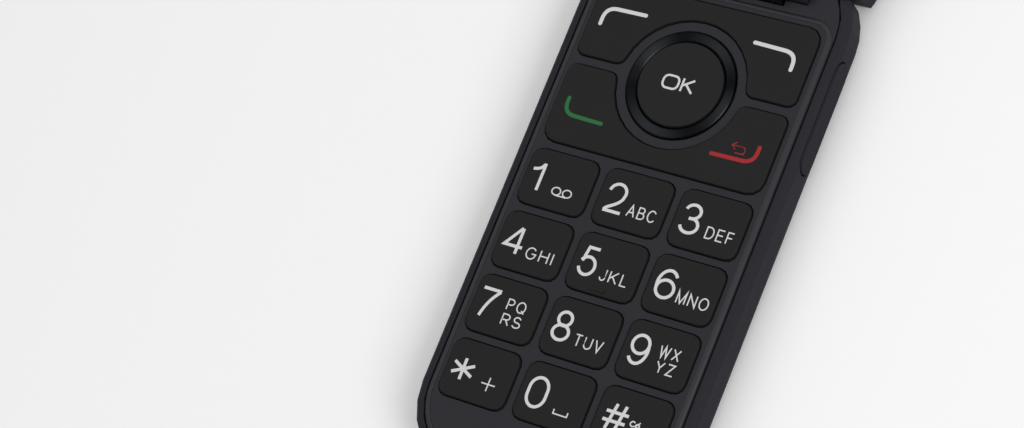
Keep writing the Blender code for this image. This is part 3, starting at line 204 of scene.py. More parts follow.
def turned_aluminium(name, colour, centre, pitch):
    """Anodised aluminium off a lathe: rings too fine to count, and painted reflection, light and dark bands of
    colour round the ring that stand in for its glare.
    """
    made, tree, shader, place = new_material(name)
    back = tuple(-c for c in centre)
    about = add_node(tree, "Mapping", {"Vector": place, "Location": back}).outputs["Vector"]
    lines = add_node(
        tree, "TexWave", {"Vector": about, "Scale": WAVE_PITCH / pitch}, wave_type="RINGS", rings_direction="Z"
    )
    turn = add_node(tree, "TexGradient", {"Vector": about}, gradient_type="RADIAL")
    # Painted reflection: brightness by angle round the ring, from the table of painted glare above
    painted_glare = add_node(tree, "ValToRGB", {"Fac": turn.outputs["Fac"]})
    ramp = painted_glare.color_ramp
    ramp.interpolation = "EASE"
    for degrees, value in RING_PAINTED_GLARE[1:-1]:
        ramp.elements.new(degrees / 360).color = (value, value, value, 1)
    for end in (0, -1):
        value = RING_PAINTED_GLARE[end][1]
        ramp.elements[end].color = (value, value, value, 1)
    # The painted reflection: the colour runs from a dark share of it to the full colour round the ring
    tone = add_node(
        tree, "Mix",
        {MIX_FACTOR: painted_glare.outputs["Color"], MIX_A: shade(colour, 0.22), MIX_B: shade(colour, 1.0)},
        data_type="RGBA",
    )
    satin = add_node(tree, "MapRange", {"Value": lines.outputs["Fac"], "To Min": 0.26, "To Max": 0.4})
    relief = add_node(tree, "Bump", {"Height": lines.outputs["Fac"], "Distance": 0.002 * MM})
    fill(shader, {
        "Base Color": tone.outputs[MIX_RESULT], "Roughness": satin.outputs["Result"],
        "Normal": relief.outputs["Normal"], "Metallic": 1.0,
    })
    return made


def sheet_metal(name, colour, streak, roughness):
    """Rolled and plated sheet: bright, with dull streaks along the rolling direction, Y."""
    made, tree, shader, place = new_material(name)
    along = add_node(tree, "Mapping", {"Vector": place, "Scale": (1, 0.08, 1)}).outputs["Vector"]
    rolled = add_node(tree, "TexNoise", {"Vector": along, "Scale": 1 / streak, "Detail": 4.0})
    tone = add_node(
        tree, "Mix",
        {MIX_FACTOR: rolled.outputs["Fac"], MIX_A: shade(colour, 0.75), MIX_B: shade(colour, 1.1)},
        data_type="RGBA",
    )
    satin = add_node(
        tree, "MapRange",
        {"Value": rolled.outputs["Fac"], "To Min": roughness - 0.06, "To Max": roughness + 0.12},
    )
    fill(shader, {
        "Base Color": tone.outputs[MIX_RESULT], "Roughness": satin.outputs["Result"], "Metallic": 1.0,
    })
    return made


def printed_ink(name, colour):
    """Screen-printed ink: flat and a little chalky, with the mesh's faint specks."""
    made, tree, shader, place = new_material(name)
    speck = add_node(tree, "TexNoise", {"Vector": place, "Scale": 1 / (0.15 * MM), "Detail": 2.0})
    tone = add_node(
        tree, "Mix",
        {MIX_FACTOR: speck.outputs["Fac"], MIX_A: shade(colour, 0.9), MIX_B: shade(colour, 1.06)},
        data_type="RGBA",
    )
    fill(shader, {"Base Color": tone.outputs[MIX_RESULT], "Roughness": 0.6, "Specular IOR Level": 0.2})
    return made


def silicone_rubber(name, colour):
    """Moulded silicone: soft and dull, with a faint dusty bloom."""
    made, tree, shader, place = new_material(name)
    bloom = add_node(tree, "TexNoise", {"Vector": place, "Scale": 1 / (1.5 * MM), "Detail": 3.0})
    tone = add_node(
        tree, "Mix",
        {MIX_FACTOR: bloom.outputs["Fac"], MIX_A: shade(colour, 0.85), MIX_B: shade(colour, 1.2)},
        data_type="RGBA",
    )
    relief = add_node(tree, "Bump", {"Height": bloom.outputs["Fac"], "Distance": 0.01 * MM})
    fill(shader, {
        "Base Color": tone.outputs[MIX_RESULT], "Normal": relief.outputs["Normal"], "Roughness": 0.8,
        "Specular IOR Level": 0.25, "Sheen Weight": 0.1,
    })
    return made


def circuit_board(name):
    """Glass fibre board under green solder resist: copper shows through as lighter lines 1.2 mm apart."""
    made, tree, shader, place = new_material(name)
    tracks = add_node(
        tree, "TexBrick",
        {"Vector": place, "Color1": (*linear("1d5a31"), 1), "Color2": (*linear("174a29"), 1),
         "Mortar": (*linear("3c8a4c"), 1), "Scale": 1.0, "Mortar Size": 0.08 * MM,
         "Brick Width": 2.4 * MM, "Row Height": 1.2 * MM},
    )
    relief = add_node(tree, "Bump", {"Height": tracks.outputs["Fac"], "Distance": 0.02 * MM})
    fill(shader, {
        "Base Color": tracks.outputs["Color"], "Normal": relief.outputs["Normal"], "Roughness": 0.35,
    })
    return made


def polyimide_film(name):
    """Amber polyimide film over etched copper: glossy, with tracks 0.5 mm apart across X."""
    made, tree, shader, place = new_material(name)
    scale = WAVE_PITCH / (0.5 * MM)
    lines = add_node(tree, "TexWave", {"Vector": place, "Scale": scale}, bands_direction="X")
    amber = linear("a2652a")
    tone = add_node(
        tree, "Mix",
        {MIX_FACTOR: lines.outputs["Fac"], MIX_A: shade(amber, 0.55), MIX_B: shade(amber, 1.2)},
        data_type="RGBA",
    )
    fill(shader, {"Base Color": tone.outputs[MIX_RESULT], "Roughness": 0.25})
    return made


def shrink_sleeve(name, colour):
    """Heat-shrunk PVC sleeve over a cell: satin, drawn into faint long creases."""
    made, tree, shader, place = new_material(name)
    along = add_node(tree, "Mapping", {"Vector": place, "Scale": (1, 0.15, 1)}).outputs["Vector"]
    crease = add_node(tree, "TexNoise", {"Vector": along, "Scale": 1 / (4 * MM), "Detail": 3.0})
    tone = add_node(
        tree, "Mix",
        {MIX_FACTOR: crease.outputs["Fac"], MIX_A: shade(colour, 0.85), MIX_B: shade(colour, 1.15)},
        data_type="RGBA",
    )
    relief = add_node(tree, "Bump", {"Height": crease.outputs["Fac"], "Distance": 0.05 * MM})
    fill(shader, {
        "Base Color": tone.outputs[MIX_RESULT], "Normal": relief.outputs["Normal"], "Roughness": 0.35,
    })
    return made


def facet_diffuser(name, colour):
    """Milky acrylic diffuser, moulded with pyramids 0.3 mm across that spread the light."""
    made, tree, shader, place = new_material(name)
    facets = add_node(tree, "TexVoronoi", {"Vector": place, "Scale": 1 / (0.3 * MM)})
    tone = add_node(
        tree, "Mix",
        {MIX_FACTOR: facets.outputs["Distance"], MIX_A: shade(colour, 0.85), MIX_B: shade(colour, 1.1)},
        data_type="RGBA",
    )
    relief = add_node(tree, "Bump", {"Height": facets.outputs["Distance"], "Distance": 0.05 * MM})
    fill(shader, {
        "Base Color": tone.outputs[MIX_RESULT], "Normal": relief.outputs["Normal"], "Roughness": 0.3,
    })
    return made


def tinted_glass(name, colour, wave):
    """Toughened glass with a dark layer behind it: deep and mirror smooth, with a hint of its polish."""
    made, tree, shader, place = new_material(name)
    polish = add_node(tree, "TexNoise", {"Vector": place, "Scale": 1 / wave, "Detail": 2.0})
    tone = add_node(
        tree, "Mix",
        {MIX_FACTOR: polish.outputs["Fac"], MIX_A: shade(colour, 0.8), MIX_B: shade(colour, 1.2)},
        data_type="RGBA",
    )
    smear = add_node(tree, "MapRange", {"Value": polish.outputs["Fac"], "To Min": 0.03, "To Max": 0.09})
    fill(shader, {
        "Base Color": tone.outputs[MIX_RESULT], "Roughness": smear.outputs["Result"], "Coat Weight": 0.5,
    })
    return made


def woven_mesh(name, colour):
    """Woven steel gauze: wires 0.25 mm apart both ways, dark between them."""
    made, tree, shader, place = new_material(name)
    scale = WAVE_PITCH / (0.25 * MM)
    across = add_node(tree, "TexWave", {"Vector": place, "Scale": scale}, bands_direction="X")
    along = add_node(tree, "TexWave", {"Vector": place, "Scale": scale}, bands_direction="Y")
    wires = add_node(tree, "Math", {0: across.outputs["Fac"], 1: along.outputs["Fac"]}, operation="MAXIMUM")
    tone = add_node(
        tree, "Mix",
        {MIX_FACTOR: wires.outputs["Value"], MIX_A: shade(colour, 0.1), MIX_B: shade(colour, 1.1)},
        data_type="RGBA",
    )
    relief = add_node(tree, "Bump", {"Height": wires.outputs["Value"], "Distance": 0.05 * MM})
    fill(shader, {
        "Base Color": tone.outputs[MIX_RESULT], "Normal": relief.outputs["Normal"], "Roughness": 0.35,
        "Metallic": 1.0,
    })
    return made


def give(material, *nodes):
    """Puts a finish on CAD nodes, whose shapes stay as they are."""
    for name in nodes:
        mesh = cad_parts[name].data
        mesh.materials.clear()
        mesh.materials.append(material)


# Print: each glyph is a few lines drawn in a box of 1 by 1, and its width over its height

def bow(x, y, wide, tall, start, end):
    """Points along an oval arc about x, y, from one angle in degrees to another."""
    steps = max(2, math.ceil(abs(end - start) / 9))
    turns = [(start + (end - start) * i / steps) * DEGREE for i in range(steps + 1)]
    return [(x + wide * math.cos(t), y + tall * math.sin(t)) for t in turns]


def swing(start, pull, end):
    """Points along a bend from start to end that leans towards pull."""
    return [
        tuple((1 - s) ** 2 * a + 2 * s * (1 - s) * b + s * s * c for a, b, c in zip(start, pull, end))
        for s in (step / 8 for step in range(9))
    ]


OVAL = bow(0.5, 0.5, 0.5, 0.5, 90, 450)
ROUND_O = bow(0.5, 0.62, 0.5, 0.38, 0, 180) + bow(0.5, 0.38, 0.5, 0.38, 180, 360) + [(1, 0.62)]
SIX = (
    bow(0.54, 0.5, 0.52, 0.5, 38, 200),
    bow(0.52, 0.32, 0.47, 0.32, 90, 450),
)
LETTER_P = ([(0, 0), (0, 1)] + bow(0.5, 0.735, 0.48, 0.265, 90, -90) + [(0, 0.47)],)

GLYPHS = {
    "0": (0.7, (ROUND_O,)),
    "1": (0.4, ([(1, 0), (1, 1)], swing((0, 0.73), (0.8, 0.76), (0.93, 0.96)))),
    "2": (0.68, (bow(0.48, 0.7, 0.46, 0.3, 175, -22) + swing((0.89, 0.52), (0.78, 0.36), (0.48, 0.24))
                 + swing((0.42, 0.21), (0.1, 0.1), (0.05, 0.02)), [(0, 0), (1, 0)])),
    "3": (0.66, (bow(0.47, 0.755, 0.42, 0.245, 168, -90) + [(0.34, 0.51)],
                 bow(0.49, 0.265, 0.49, 0.265, 84, -168))),
    "4": (0.7, ([(0.74, 0), (0.74, 0.97)], [(0.7, 0.98), (0.02, 0.27), (1, 0.27)])),
    "5": (0.64, ([(0.92, 1), (0.24, 1), (0.1, 0.47)], bow(0.47, 0.33, 0.5, 0.33, 152, -165))),
    "6": (0.68, SIX),
    "7": (0.68, ([(0, 1), (1, 1)], swing((0.97, 0.98), (0.42, 0.58), (0.27, 0)))),
    "8": (0.68, (bow(0.5, 0.755, 0.4, 0.245, 90, 450), bow(0.5, 0.265, 0.48, 0.265, 90, 450))),
    "9": (0.68, tuple([(1 - x, 1 - y) for x, y in line] for line in SIX)),
    "*": (1.0, ([(0.5, 0), (0.5, 1)], [(0.02, 0.24), (0.98, 0.76)], [(0.02, 0.76), (0.98, 0.24)])),
    "#": (0.95, ([(0.22, 0), (0.4, 1)], [(0.62, 0), (0.8, 1)], [(0.04, 0.67), (1, 0.67)],
                 [(0, 0.33), (0.96, 0.33)])),
    "+": (1.0, ([(0.5, 0), (0.5, 1)], [(0, 0.5), (1, 0.5)])),
    "A": (0.9, ([(0, 0), (0.5, 1), (1, 0)], [(0.18, 0.36), (0.82, 0.36)])),
    "B": (0.78, ([(0, 0.53), (0, 1)] + bow(0.5, 0.765, 0.4, 0.235, 90, -90) + [(0, 0.53)],
                 [(0, 0.53)] + bow(0.54, 0.265, 0.46, 0.265, 90, -90) + [(0, 0), (0, 0.53)])),
    "C": (0.92, (bow(0.52, 0.5, 0.52, 0.5, 38, 322),)),
    "D": (0.86, ([(0, 0), (0, 1)] + bow(0.42, 0.5, 0.58, 0.5, 90, -90) + [(0, 0)],)),
    "E": (0.72, ([(1, 1), (0, 1), (0, 0), (1, 0)], [(0, 0.52), (0.92, 0.52)])),
    "F": (0.66, ([(1, 1), (0, 1), (0, 0)], [(0, 0.52), (0.88, 0.52)])),
    "G": (0.95, (bow(0.5, 0.5, 0.5, 0.5, 40, 330) + [(1, 0.47), (0.58, 0.47)],)),
    "H": (0.82, ([(0, 0), (0, 1)], [(1, 0), (1, 1)], [(0, 0.52), (1, 0.52)])),
    "I": (0.0, ([(0, 0), (0, 1)],)),
    "J": (0.52, ([(1, 1), (1, 0.28)] + bow(0.5, 0.28, 0.5, 0.28, 0, -175),)),
    "K": (0.8, ([(0, 0), (0, 1)], [(0.97, 1), (0.02, 0.36)], [(0.34, 0.58), (1, 0)])),
    "L": (0.62, ([(0, 1), (0, 0), (1, 0)],)),
    "M": (0.94, ([(0, 0), (0, 1), (0.5, 0.02), (1, 1), (1, 0)],)),
    "N": (0.82, ([(0, 0), (0, 1), (1, 0), (1, 1)],)),
    "O": (0.98, (OVAL,)),
    "P": (0.74, LETTER_P),
    "Q": (0.98, (OVAL, [(0.62, 0.24), (0.98, -0.03)])),
    "R": (0.78, LETTER_P + ([(0.55, 0.46), (1, 0)],)),
    "S": (0.76, (bow(0.5, 0.745, 0.44, 0.255, 22, 262) + bow(0.5, 0.255, 0.5, 0.255, 82, -160),)),
    "T": (0.76, ([(0, 1), (1, 1)], [(0.5, 1), (0.5, 0)])),
    "U": (0.82, ([(0, 1), (0, 0.34)] + bow(0.5, 0.34, 0.5, 0.34, 180, 360) + [(1, 1)],)),
    "V": (0.84, ([(0, 1), (0.5, 0), (1, 1)],)),
    "W": (1.2, ([(0, 1), (0.26, 0), (0.5, 0.97), (0.74, 0), (1, 1)],)),
    "X": (0.82, ([(0, 1), (1, 0)], [(0, 0), (1, 1)])),
    "Y": (0.84, ([(0, 1), (0.5, 0.44), (1, 1)], [(0.5, 0.46), (0.5, 0)])),
    "Z": (0.78, ([(0, 1), (1, 1), (0, 0), (1, 0)],)),
    "space bar": (1.8, ([(0, 1), (0, 0), (1, 0), (1, 1)],)),
    "answer loops": (1.7, (bow(0.22, 0.55, 0.22, 0.4, 90, 450), bow(0.78, 0.55, 0.22, 0.4, 90, 450),
                           [(0.22, 0.12), (0.78, 0.12)])),
    "silent mark": (1.3, (bow(0.26, 0.45, 0.26, 0.45, 40, 330), [(0.55, 0.05), (1, 1)],
                          bow(0.8, 0.3, 0.2, 0.3, 90, 450))),
}
# Half the space between two letters over their height, from line centre to line centre
LETTER_GAP = 0.22

# What each key says: its glyphs, then their box's left, right, bottom and top in mm from the key's middle
KEY_PRINT = {
    "key_1": (("1", -6.0, -3.25, -3.0, 3.03), ("answer loops", -0.5, 3.85, -3.0, -0.9)),
    "key_2": (("2", -5.45, -1.2, -3.0, 3.03), ("ABC", -0.35, 5.6, -2.8, -0.4)),
    "key_3": (("3", -5.65, -1.5, -3.0, 3.03), ("DEF", 0.0, 5.6, -2.8, -0.4)),
    "key_4": (("4", -5.8, -1.3, -2.85, 3.0), ("GHI", -0.5, 5.25, -2.8, -0.4)),
    "key_5": (("5", -5.55, -1.75, -2.85, 3.0), ("JKL", -0.6, 5.2, -2.8, -0.4)),
    "key_6": (("6", -5.65, -1.3, -2.85, 3.0), ("MNO", -0.6, 5.85, -2.8, -0.4)),
    "key_7": (("7", -6.0, -1.65, -2.9, 3.1), ("PQ", 0.0, 4.0, -0.13, 2.14), ("RS", 0.0, 4.15, -3.05, -0.78)),
    "key_8": (("8", -5.65, -1.65, -2.9, 3.1), ("TUV", -0.5, 5.4, -2.85, -0.45)),
    "key_9": (("9", -5.65, -1.5, -2.9, 3.1), ("WX", 0.2, 4.35, -0.13, 2.14), ("YZ", 0.55, 4.35, -3.05, -0.78)),
    "key_star": (("*", -5.9, -0.85, -2.45, 2.3), ("+", 1.05, 4.2, -2.9, 0.0)),
    "key_0": (("0", -5.55, -1.2, -3.1, 3.1), ("space bar", 0.9, 4.0, -2.9, -1.8)),
    "key_hash": (("#", -5.65, -0.35, -2.75, 2.75), ("silent mark", 0.0, 2.1, -0.8, 0.5)),
}
TALL_GLYPHS = "0123456789*#"

# Corner marks as points in mm: an end, the rounded corner and the other end; and the reach of the rounding
CALL_MARK = ((-20.3, 19.4), (-20.3, 15.85), (-11.7, 15.65))
END_MARK = ((19.7, 19.4), (19.7, 15.85), (10.7, 15.7))
LEFT_MARK = ((-20.3, 34.3), (-20.3, 38.15), (-11.5, 38.3))
RIGHT_MARK = ((19.7, 34.4), (19.7, 38.1), (10.7, 38.3))
MARK_CORNER = 2.4
# The return arrow's lines, in mm
RETURN_ARROW = (
    [(17.3, 16.95), (15.6, 16.95)],
    [(14.5, 18.3), (16.6, 18.3)] + bow(16.6, 17.62, 0.68, 0.68, 90, -90) + [(15.4, 16.94)],
    [(15.25, 19.0), (14.4, 18.3), (15.25, 17.6)],
)
# The centre key's two wide letters, in mm: a rounded box and a K
CENTRE_LETTERS = (
    bow(-1.3, 27.2, 1.0, 1.02, 0, 90) + bow(-2.5, 27.2, 1.0, 1.02, 90, 180)
    + bow(-2.5, 26.68, 1.0, 1.02, 180, 270) + bow(-1.3, 26.68, 1.0, 1.02, 270, 360) + [(-0.3, 27.2)],
    [(0.5, 25.65), (0.5, 28.25)],
    [(2.7, 28.25), (0.65, 26.85)],
    [(1.25, 27.15), (2.85, 25.65)],
)


def spell(word, left, right, bottom, top, stroke):
    """The lines of a word, spread over its box in metres, each as a list of points."""
    glyphs = [GLYPHS[word]] if word in GLYPHS else [GLYPHS[letter] for letter in word]
    tall = top - bottom - stroke
    natural = sum(width for width, _ in glyphs) + LETTER_GAP * 2 * (len(glyphs) - 1)
    stretch = (right - left - stroke) / natural if natural else 0
    x = left + stroke / 2
    lines = []
    for width, parts in glyphs:
        for part in parts:
            lines.append([(x + u * width * stretch, bottom + stroke / 2 + v * tall) for u, v in part])
        x += (width + LETTER_GAP * 2) * stretch
    return lines


def rounded_mark(points, corner):
    """A bent line through three points in mm, rounded at the middle one."""
    start, bend, end = (Vector(p) for p in points)
    into = bend + (start - bend).normalized() * corner
    out = bend + (end - bend).normalized() * corner
    return [tuple(start), *swing(tuple(into), tuple(bend), tuple(out)), tuple(end)]


def in_metres(line):
    """A line's points in mm as points in metres."""
    return [(x * MM, y * MM) for x, y in line]


def end_share(line, place, stroke):
    """How wide a round-ended line is at one of its points, as a share of its full width."""
    reach = min(math.dist(line[place], line[0]), math.dist(line[place], line[-1])) / (stroke / 2)
    return math.sqrt(max(0.01, 1 - max(0, 1 - reach) ** 2))


def with_ends(line, stroke):
    """The line with points added close to its ends, where it will be rounded."""
    shares = (0.06, 0.15, 0.3, 0.5, 0.75)
    ends = []
    for start, onward in ((line[0], line[1]), (line[-1], line[-2])):
        step = Vector(onward) - Vector(start)
        ends.append([tuple(Vector(start) + step.normalized() * share * stroke / 2) for share in shares])
    return [line[0], *ends[0], *line[1:-1], *reversed(ends[1]), line[-1]]


def new_piece(name, bm, material, body, node=None, sharp=None):
    """A new visible piece that rides on a body, and stands for a CAD node where one is named.

    Where an angle in degrees is given, the piece is smooth, and only edges sharper than that show.
    """
    mesh = bpy.data.meshes.new(name)
    bm.to_mesh(mesh)
    bm.free()
    mesh.materials.append(material)
    if sharp:
        mesh.shade_smooth()
        mesh.set_sharp_from_angle(angle=sharp * DEGREE)
    piece = bpy.data.objects.new(name, mesh)
    bpy.context.scene.collection.objects.link(piece)
    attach(piece, body)
    if node:
        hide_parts(node)
    return piece


def turned(section, centre):
    """A bmesh turned about an upright axis through the centre, from its section as radius and height."""
    bm = bmesh.new()
    verts = [bm.verts.new((radius, 0, height)) for radius, height in section]
    edges = [bm.edges.new(pair) for pair in zip(verts, verts[1:] + verts[:1])]
    bmesh.ops.spin(
        bm, geom=verts + edges, axis=(0, 0, 1), cent=(0, 0, 0), dvec=(0, 0, 0), angle=math.tau,
        steps=TURNED_SIDES, use_merge=True,
    )
    bmesh.ops.remove_doubles(bm, verts=bm.verts, dist=0.001 * MM)
    bmesh.ops.recalc_face_normals(bm, faces=bm.faces)
    bmesh.ops.translate(bm, verts=bm.verts, vec=(centre.x, centre.y, 0))
    return bm


def print_piece(name, inked, height, material, body, round_ends=False):
    """Ink that stands on a height: a low wall along the middle of each line, thickened to its width."""
    rise = bpy.context.scene.phone_sizes.ink_rise
    widest = max(stroke for _, stroke in inked)
    bm = bmesh.new()
    share = bm.verts.layers.deform.verify()
    for order, (line, stroke) in enumerate(inked):
        closed = math.dist(line[0], line[-1]) < stroke / 10
        rounded = round_ends and not closed
        line = with_ends(line, stroke) if rounded else line
        verts = [bm.verts.new((x, y, height)) for x, y in (line[:-1] if closed else line)]
        edges = [bm.edges.new(pair) for pair in zip(verts, verts[1:])]
        if closed:
            edges.append(bm.edges.new((verts[-1], verts[0])))
        raised = bmesh.ops.extrude_edge_only(bm, edges=edges)["geom"]
        top = [item for item in raised if isinstance(item, bmesh.types.BMVert)]
        # Lines that cross differ a little in height, so that no two faces lie in one plane.
        bmesh.ops.translate(bm, verts=top, vec=(0, 0, rise * (1 + 0.1 * (order % 5))))
        for place, pair in enumerate(zip(verts, top)):
            for vert in pair:
                vert[share][0] = stroke / widest * (end_share(line, place, stroke) if rounded else 1)
    piece = new_piece(name, bm, material, body)
    group = piece.vertex_groups.new(name="line width")
    thick = piece.modifiers.new("line width", "SOLIDIFY")
    thick.thickness = widest
    thick.offset = 0
    thick.use_even_offset = True
    thick.vertex_group = group.name


# Operators, one for each piece or group of like pieces

# The point on the hinge's axis between the halves
HINGE_AXIS = (0, 51.4 * MM, 10.15 * MM)
BARREL_SIDES = 128
TURNED_SIDES = 192
# How far a new face stands over the CAD's or sinks under it, so that no two faces lie in one plane
SKIN = 0.01 * MM
# The deck's outline: its far end, its corners there and its wide rounds at the tail, how far the round
# along its edge stands out over the cover's own, and how wide a band of the deck it takes in besides
DECK_END_Y = 46.0 * MM
DECK_CORNER = 4.6 * MM
TAIL_ROUND = 12.9 * MM
DECK_EDGE_GROW = 0.05 * MM
DECK_EDGE_BAND = 0.25 * MM
# The lip round the ring's opening: its inner radius and its depth
COLLAR_RADIUS = 10.92 * MM
COLLAR_DEPTH = 0.5 * MM
# The ring: its gaps to the lip and to the centre key, the thickness of its flange, and how far its face
# lies under the top of the CAD's ring
RING_GAP = 0.11 * MM
RING_BORE_GAP = 0.15 * MM
RING_FLANGE = 0.42 * MM
RING_SINK = 0.25 * MM


class PHONE_OT_moulded_case(bpy.types.Operator):
    """Finishes both halves' mouldings, inside and out, and the battery cover"""
    bl_idname = "phone.moulded_case"
    bl_label = "Moulded case"

    def execute(self, context):
        case = tuple(context.scene.phone_colours.case)
        front = moulding("Moulded ABS, fine spark grain", case, 0.35 * MM, 0.006 * MM, 0.42, 0.14)
        give(front, "front_cover", "lid_inner_frame")
        self.ring_collar(front)
        shell = tuple(context.scene.phone_colours.shell)
        outer = moulding("Moulded ABS shells, fine spark grain", shell, 0.35 * MM, 0.006 * MM, 0.5, 0.02)
        give(outer, "rear_housing", "lid_outer_cover")
        worn = moulding("Moulded ABS, edge polished by handling", case, 0.35 * MM, 0.004 * MM, 0.36, 0.22)
        self.round_deck_edge(context.scene.phone_sizes.deck_round, worn)
        grip = moulding("Moulded ABS, coarse grip grain", case, 0.6 * MM, 0.03 * MM, 0.58, 0.12)
        give(grip, "battery_cover")
        return {"FINISHED"}

    def ring_collar(self, material):
        """The lip of the deck round the ring's opening, which leaves only a hairline beside the ring."""
        deck, inner = highest("front_cover"), COLLAR_RADIUS
        # The section as radius and height: bore, its round, the top, and the step that lies on the deck
        section = (
            (inner, deck - COLLAR_DEPTH), (inner, deck - 0.09 * MM), (inner + 0.03 * MM, deck - 0.03 * MM),
            (inner + 0.09 * MM, deck + SKIN), (inner + 0.55 * MM, deck + SKIN),
            (inner + 0.65 * MM, deck - SKIN), (inner + 0.22 * MM, deck - SKIN),
            (inner + 0.22 * MM, deck - COLLAR_DEPTH),
        )
        bm = turned(section, middle("nav_ring"))
        new_piece("ring_collar", bm, material, "base", sharp=50)

    def round_deck_edge(self, round_radius, material):
        """The moulded round along the deck's edge, which catches the light beside the groove."""
        low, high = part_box("front_cover")
        grow = DECK_EDGE_GROW
        wide, tail, end = high[0] + grow, low[1] - grow, DECK_END_Y + grow
        top = high[2] + SKIN
        half = bow(wide - TAIL_ROUND, tail + TAIL_ROUND, TAIL_ROUND, TAIL_ROUND, -90, 0)
        half += bow(wide - DECK_CORNER, end - DECK_CORNER, DECK_CORNER, DECK_CORNER, 0, 90)
        outline = half + [(-x, y) for x, y in reversed(half)]
        bm = bmesh.new()
        flat = bm.faces.new([bm.verts.new((x, y, top)) for x, y in outline])
        lowered = bmesh.ops.extrude_face_region(bm, geom=[flat])["geom"]
        verts = [item for item in lowered if isinstance(item, bmesh.types.BMVert)]
        bmesh.ops.translate(bm, verts=verts, vec=(0, 0, -round_radius - 0.05 * MM))
        rim = [e for e in bm.edges if all(v.co.z > top - grow / 2 for v in e.verts)]
        bmesh.ops.bevel(
            bm, geom=rim, offset=round_radius, segments=6, profile=0.5, affect="EDGES", material=-1,
            clamp_overlap=True,
        )
        caps = [pick(bm.faces, key=lambda f: f.calc_center_median().z) for pick in (max, min)]
        inner = []
        for cap, band in zip(caps, (DECK_EDGE_BAND, round_radius + DECK_EDGE_BAND)):
            bmesh.ops.inset_region(bm, faces=[cap], thickness=band, use_even_offset=True)
            inner += list(cap.edges)
        bmesh.ops.delete(bm, geom=caps, context="FACES_ONLY")
        bmesh.ops.bridge_loops(bm, edges=inner)
        bmesh.ops.recalc_face_normals(bm, faces=bm.faces)
        new_piece("deck_edge_round", bm, material, "base", sharp=50)


class PHONE_OT_number_keys(bpy.types.Operator):
    """Finishes the twelve number keys and prints their digits, letters and signs"""
    bl_idname = "phone.number_keys"
    bl_label = "Number keys"

    def execute(self, context):
        sizes, colours = context.scene.phone_sizes, context.scene.phone_colours
        keys = tuple(colours.keys)
        cap = moulding("Moulded polycarbonate key caps, matte", keys, 0.25 * MM, 0.006 * MM, 0.55, 0.08)
        ink = printed_ink("Screen-printed light ink", tuple(colours.print))
        for key, words in KEY_PRINT.items():
            give(cap, key)
            here = middle(key)
            inked = []
            for word, *edges in words:
                left, right, bottom, top = (edge * MM for edge in edges)
                stroke = sizes.digit_stroke if word in TALL_GLYPHS else sizes.letter_stroke
                lines = spell(word, here.x + left, here.x + right, here.y + bottom, here.y + top, stroke)
                inked += [(line, stroke) for line in lines]
            # Key 5 has a raised bar, so each print starts at the height of key 1's plain top.
            plain_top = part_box("key_1")[1][2]
            print_piece(key + "_print", inked, plain_top, ink, key)
        return {"FINISHED"}


class PHONE_OT_function_plates(bpy.types.Operator):
    """Finishes the two plates round the ring and prints their corner marks and the return arrow"""
    bl_idname = "phone.function_plates"
    bl_label = "Function plates"

    def execute(self, context):
        sizes, colours = context.scene.phone_sizes, context.scene.phone_colours
        keys = tuple(colours.keys)
        cap = moulding("Moulded polycarbonate plates, matte", keys, 0.25 * MM, 0.006 * MM, 0.52, 0.08)
        give(cap, "upper_plate", "lower_plate")
        light = printed_ink("Screen-printed light ink, corner marks", tuple(colours.print))
        green = printed_ink("Screen-printed green ink", tuple(colours.call))
        red = printed_ink("Screen-printed red ink", tuple(colours.end))
        for name, marks, ink, plate in (
            ("upper_marks", (LEFT_MARK, RIGHT_MARK), light, "upper_plate"),
            ("call_mark", (CALL_MARK,), green, "lower_plate"),
            ("end_mark", (END_MARK,), red, "lower_plate"),
        ):
            bent = [(in_metres(rounded_mark(points, MARK_CORNER)), sizes.mark_stroke) for points in marks]
            print_piece(name, bent, highest(plate), ink, plate, round_ends=True)
        arrow = [(in_metres(line), sizes.arrow_stroke) for line in RETURN_ARROW]
        print_piece("return_arrow", arrow, highest("lower_plate"), red, "lower_plate")
        return {"FINISHED"}


class PHONE_OT_navigation_ring(bpy.types.Operator):
    """Turns the dished metal ring that stands for the ring of the frame, and finishes its carrier"""
    bl_idname = "phone.navigation_ring"
    bl_label = "Navigation ring"

    def execute(self, context):
        sizes, colours = context.scene.phone_sizes, context.scene.phone_colours
        low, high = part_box("nav_ring")
        centre = middle("nav_ring")
        dark = turned_aluminium(
            "Turned aluminium, dark anodised", tuple(colours.ring), (centre.x, centre.y, 0), sizes.ring_groove
        )
        flange, wall, bore = high[0], COLLAR_RADIUS - RING_GAP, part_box("ok_key")[1][0] + RING_BORE_GAP
        foot, top = low[2], high[2] - RING_SINK
        # The section as radius and height: flange, wall, outer chamfer, face, inner chamfer and bore
        section = (
            (flange, foot), (flange, foot + RING_FLANGE), (wall, foot + RING_FLANGE), (wall, top - 0.42 * MM),
            (wall - 0.03 * MM, top - 0.3 * MM), (wall - 0.2 * MM, top - 0.12 * MM),
            (wall - 0.3 * MM, top - 0.03 * MM), (wall - 0.36 * MM, top), (bore + 0.4 * MM, top - 0.08 * MM),
            (bore + 0.28 * MM, top - 0.13 * MM), (bore, top - 0.4 * MM), (bore, foot),
        )
        bm = turned(section, centre)
        new_piece("turned_navigation_ring", bm, dark, "nav_ring", node="nav_ring", sharp=35)
        give(moulding("Moulded nylon carrier", linear("3a3a3d"), 0.4 * MM, 0.01 * MM, 0.6), "nav_carrier")
        return {"FINISHED"}


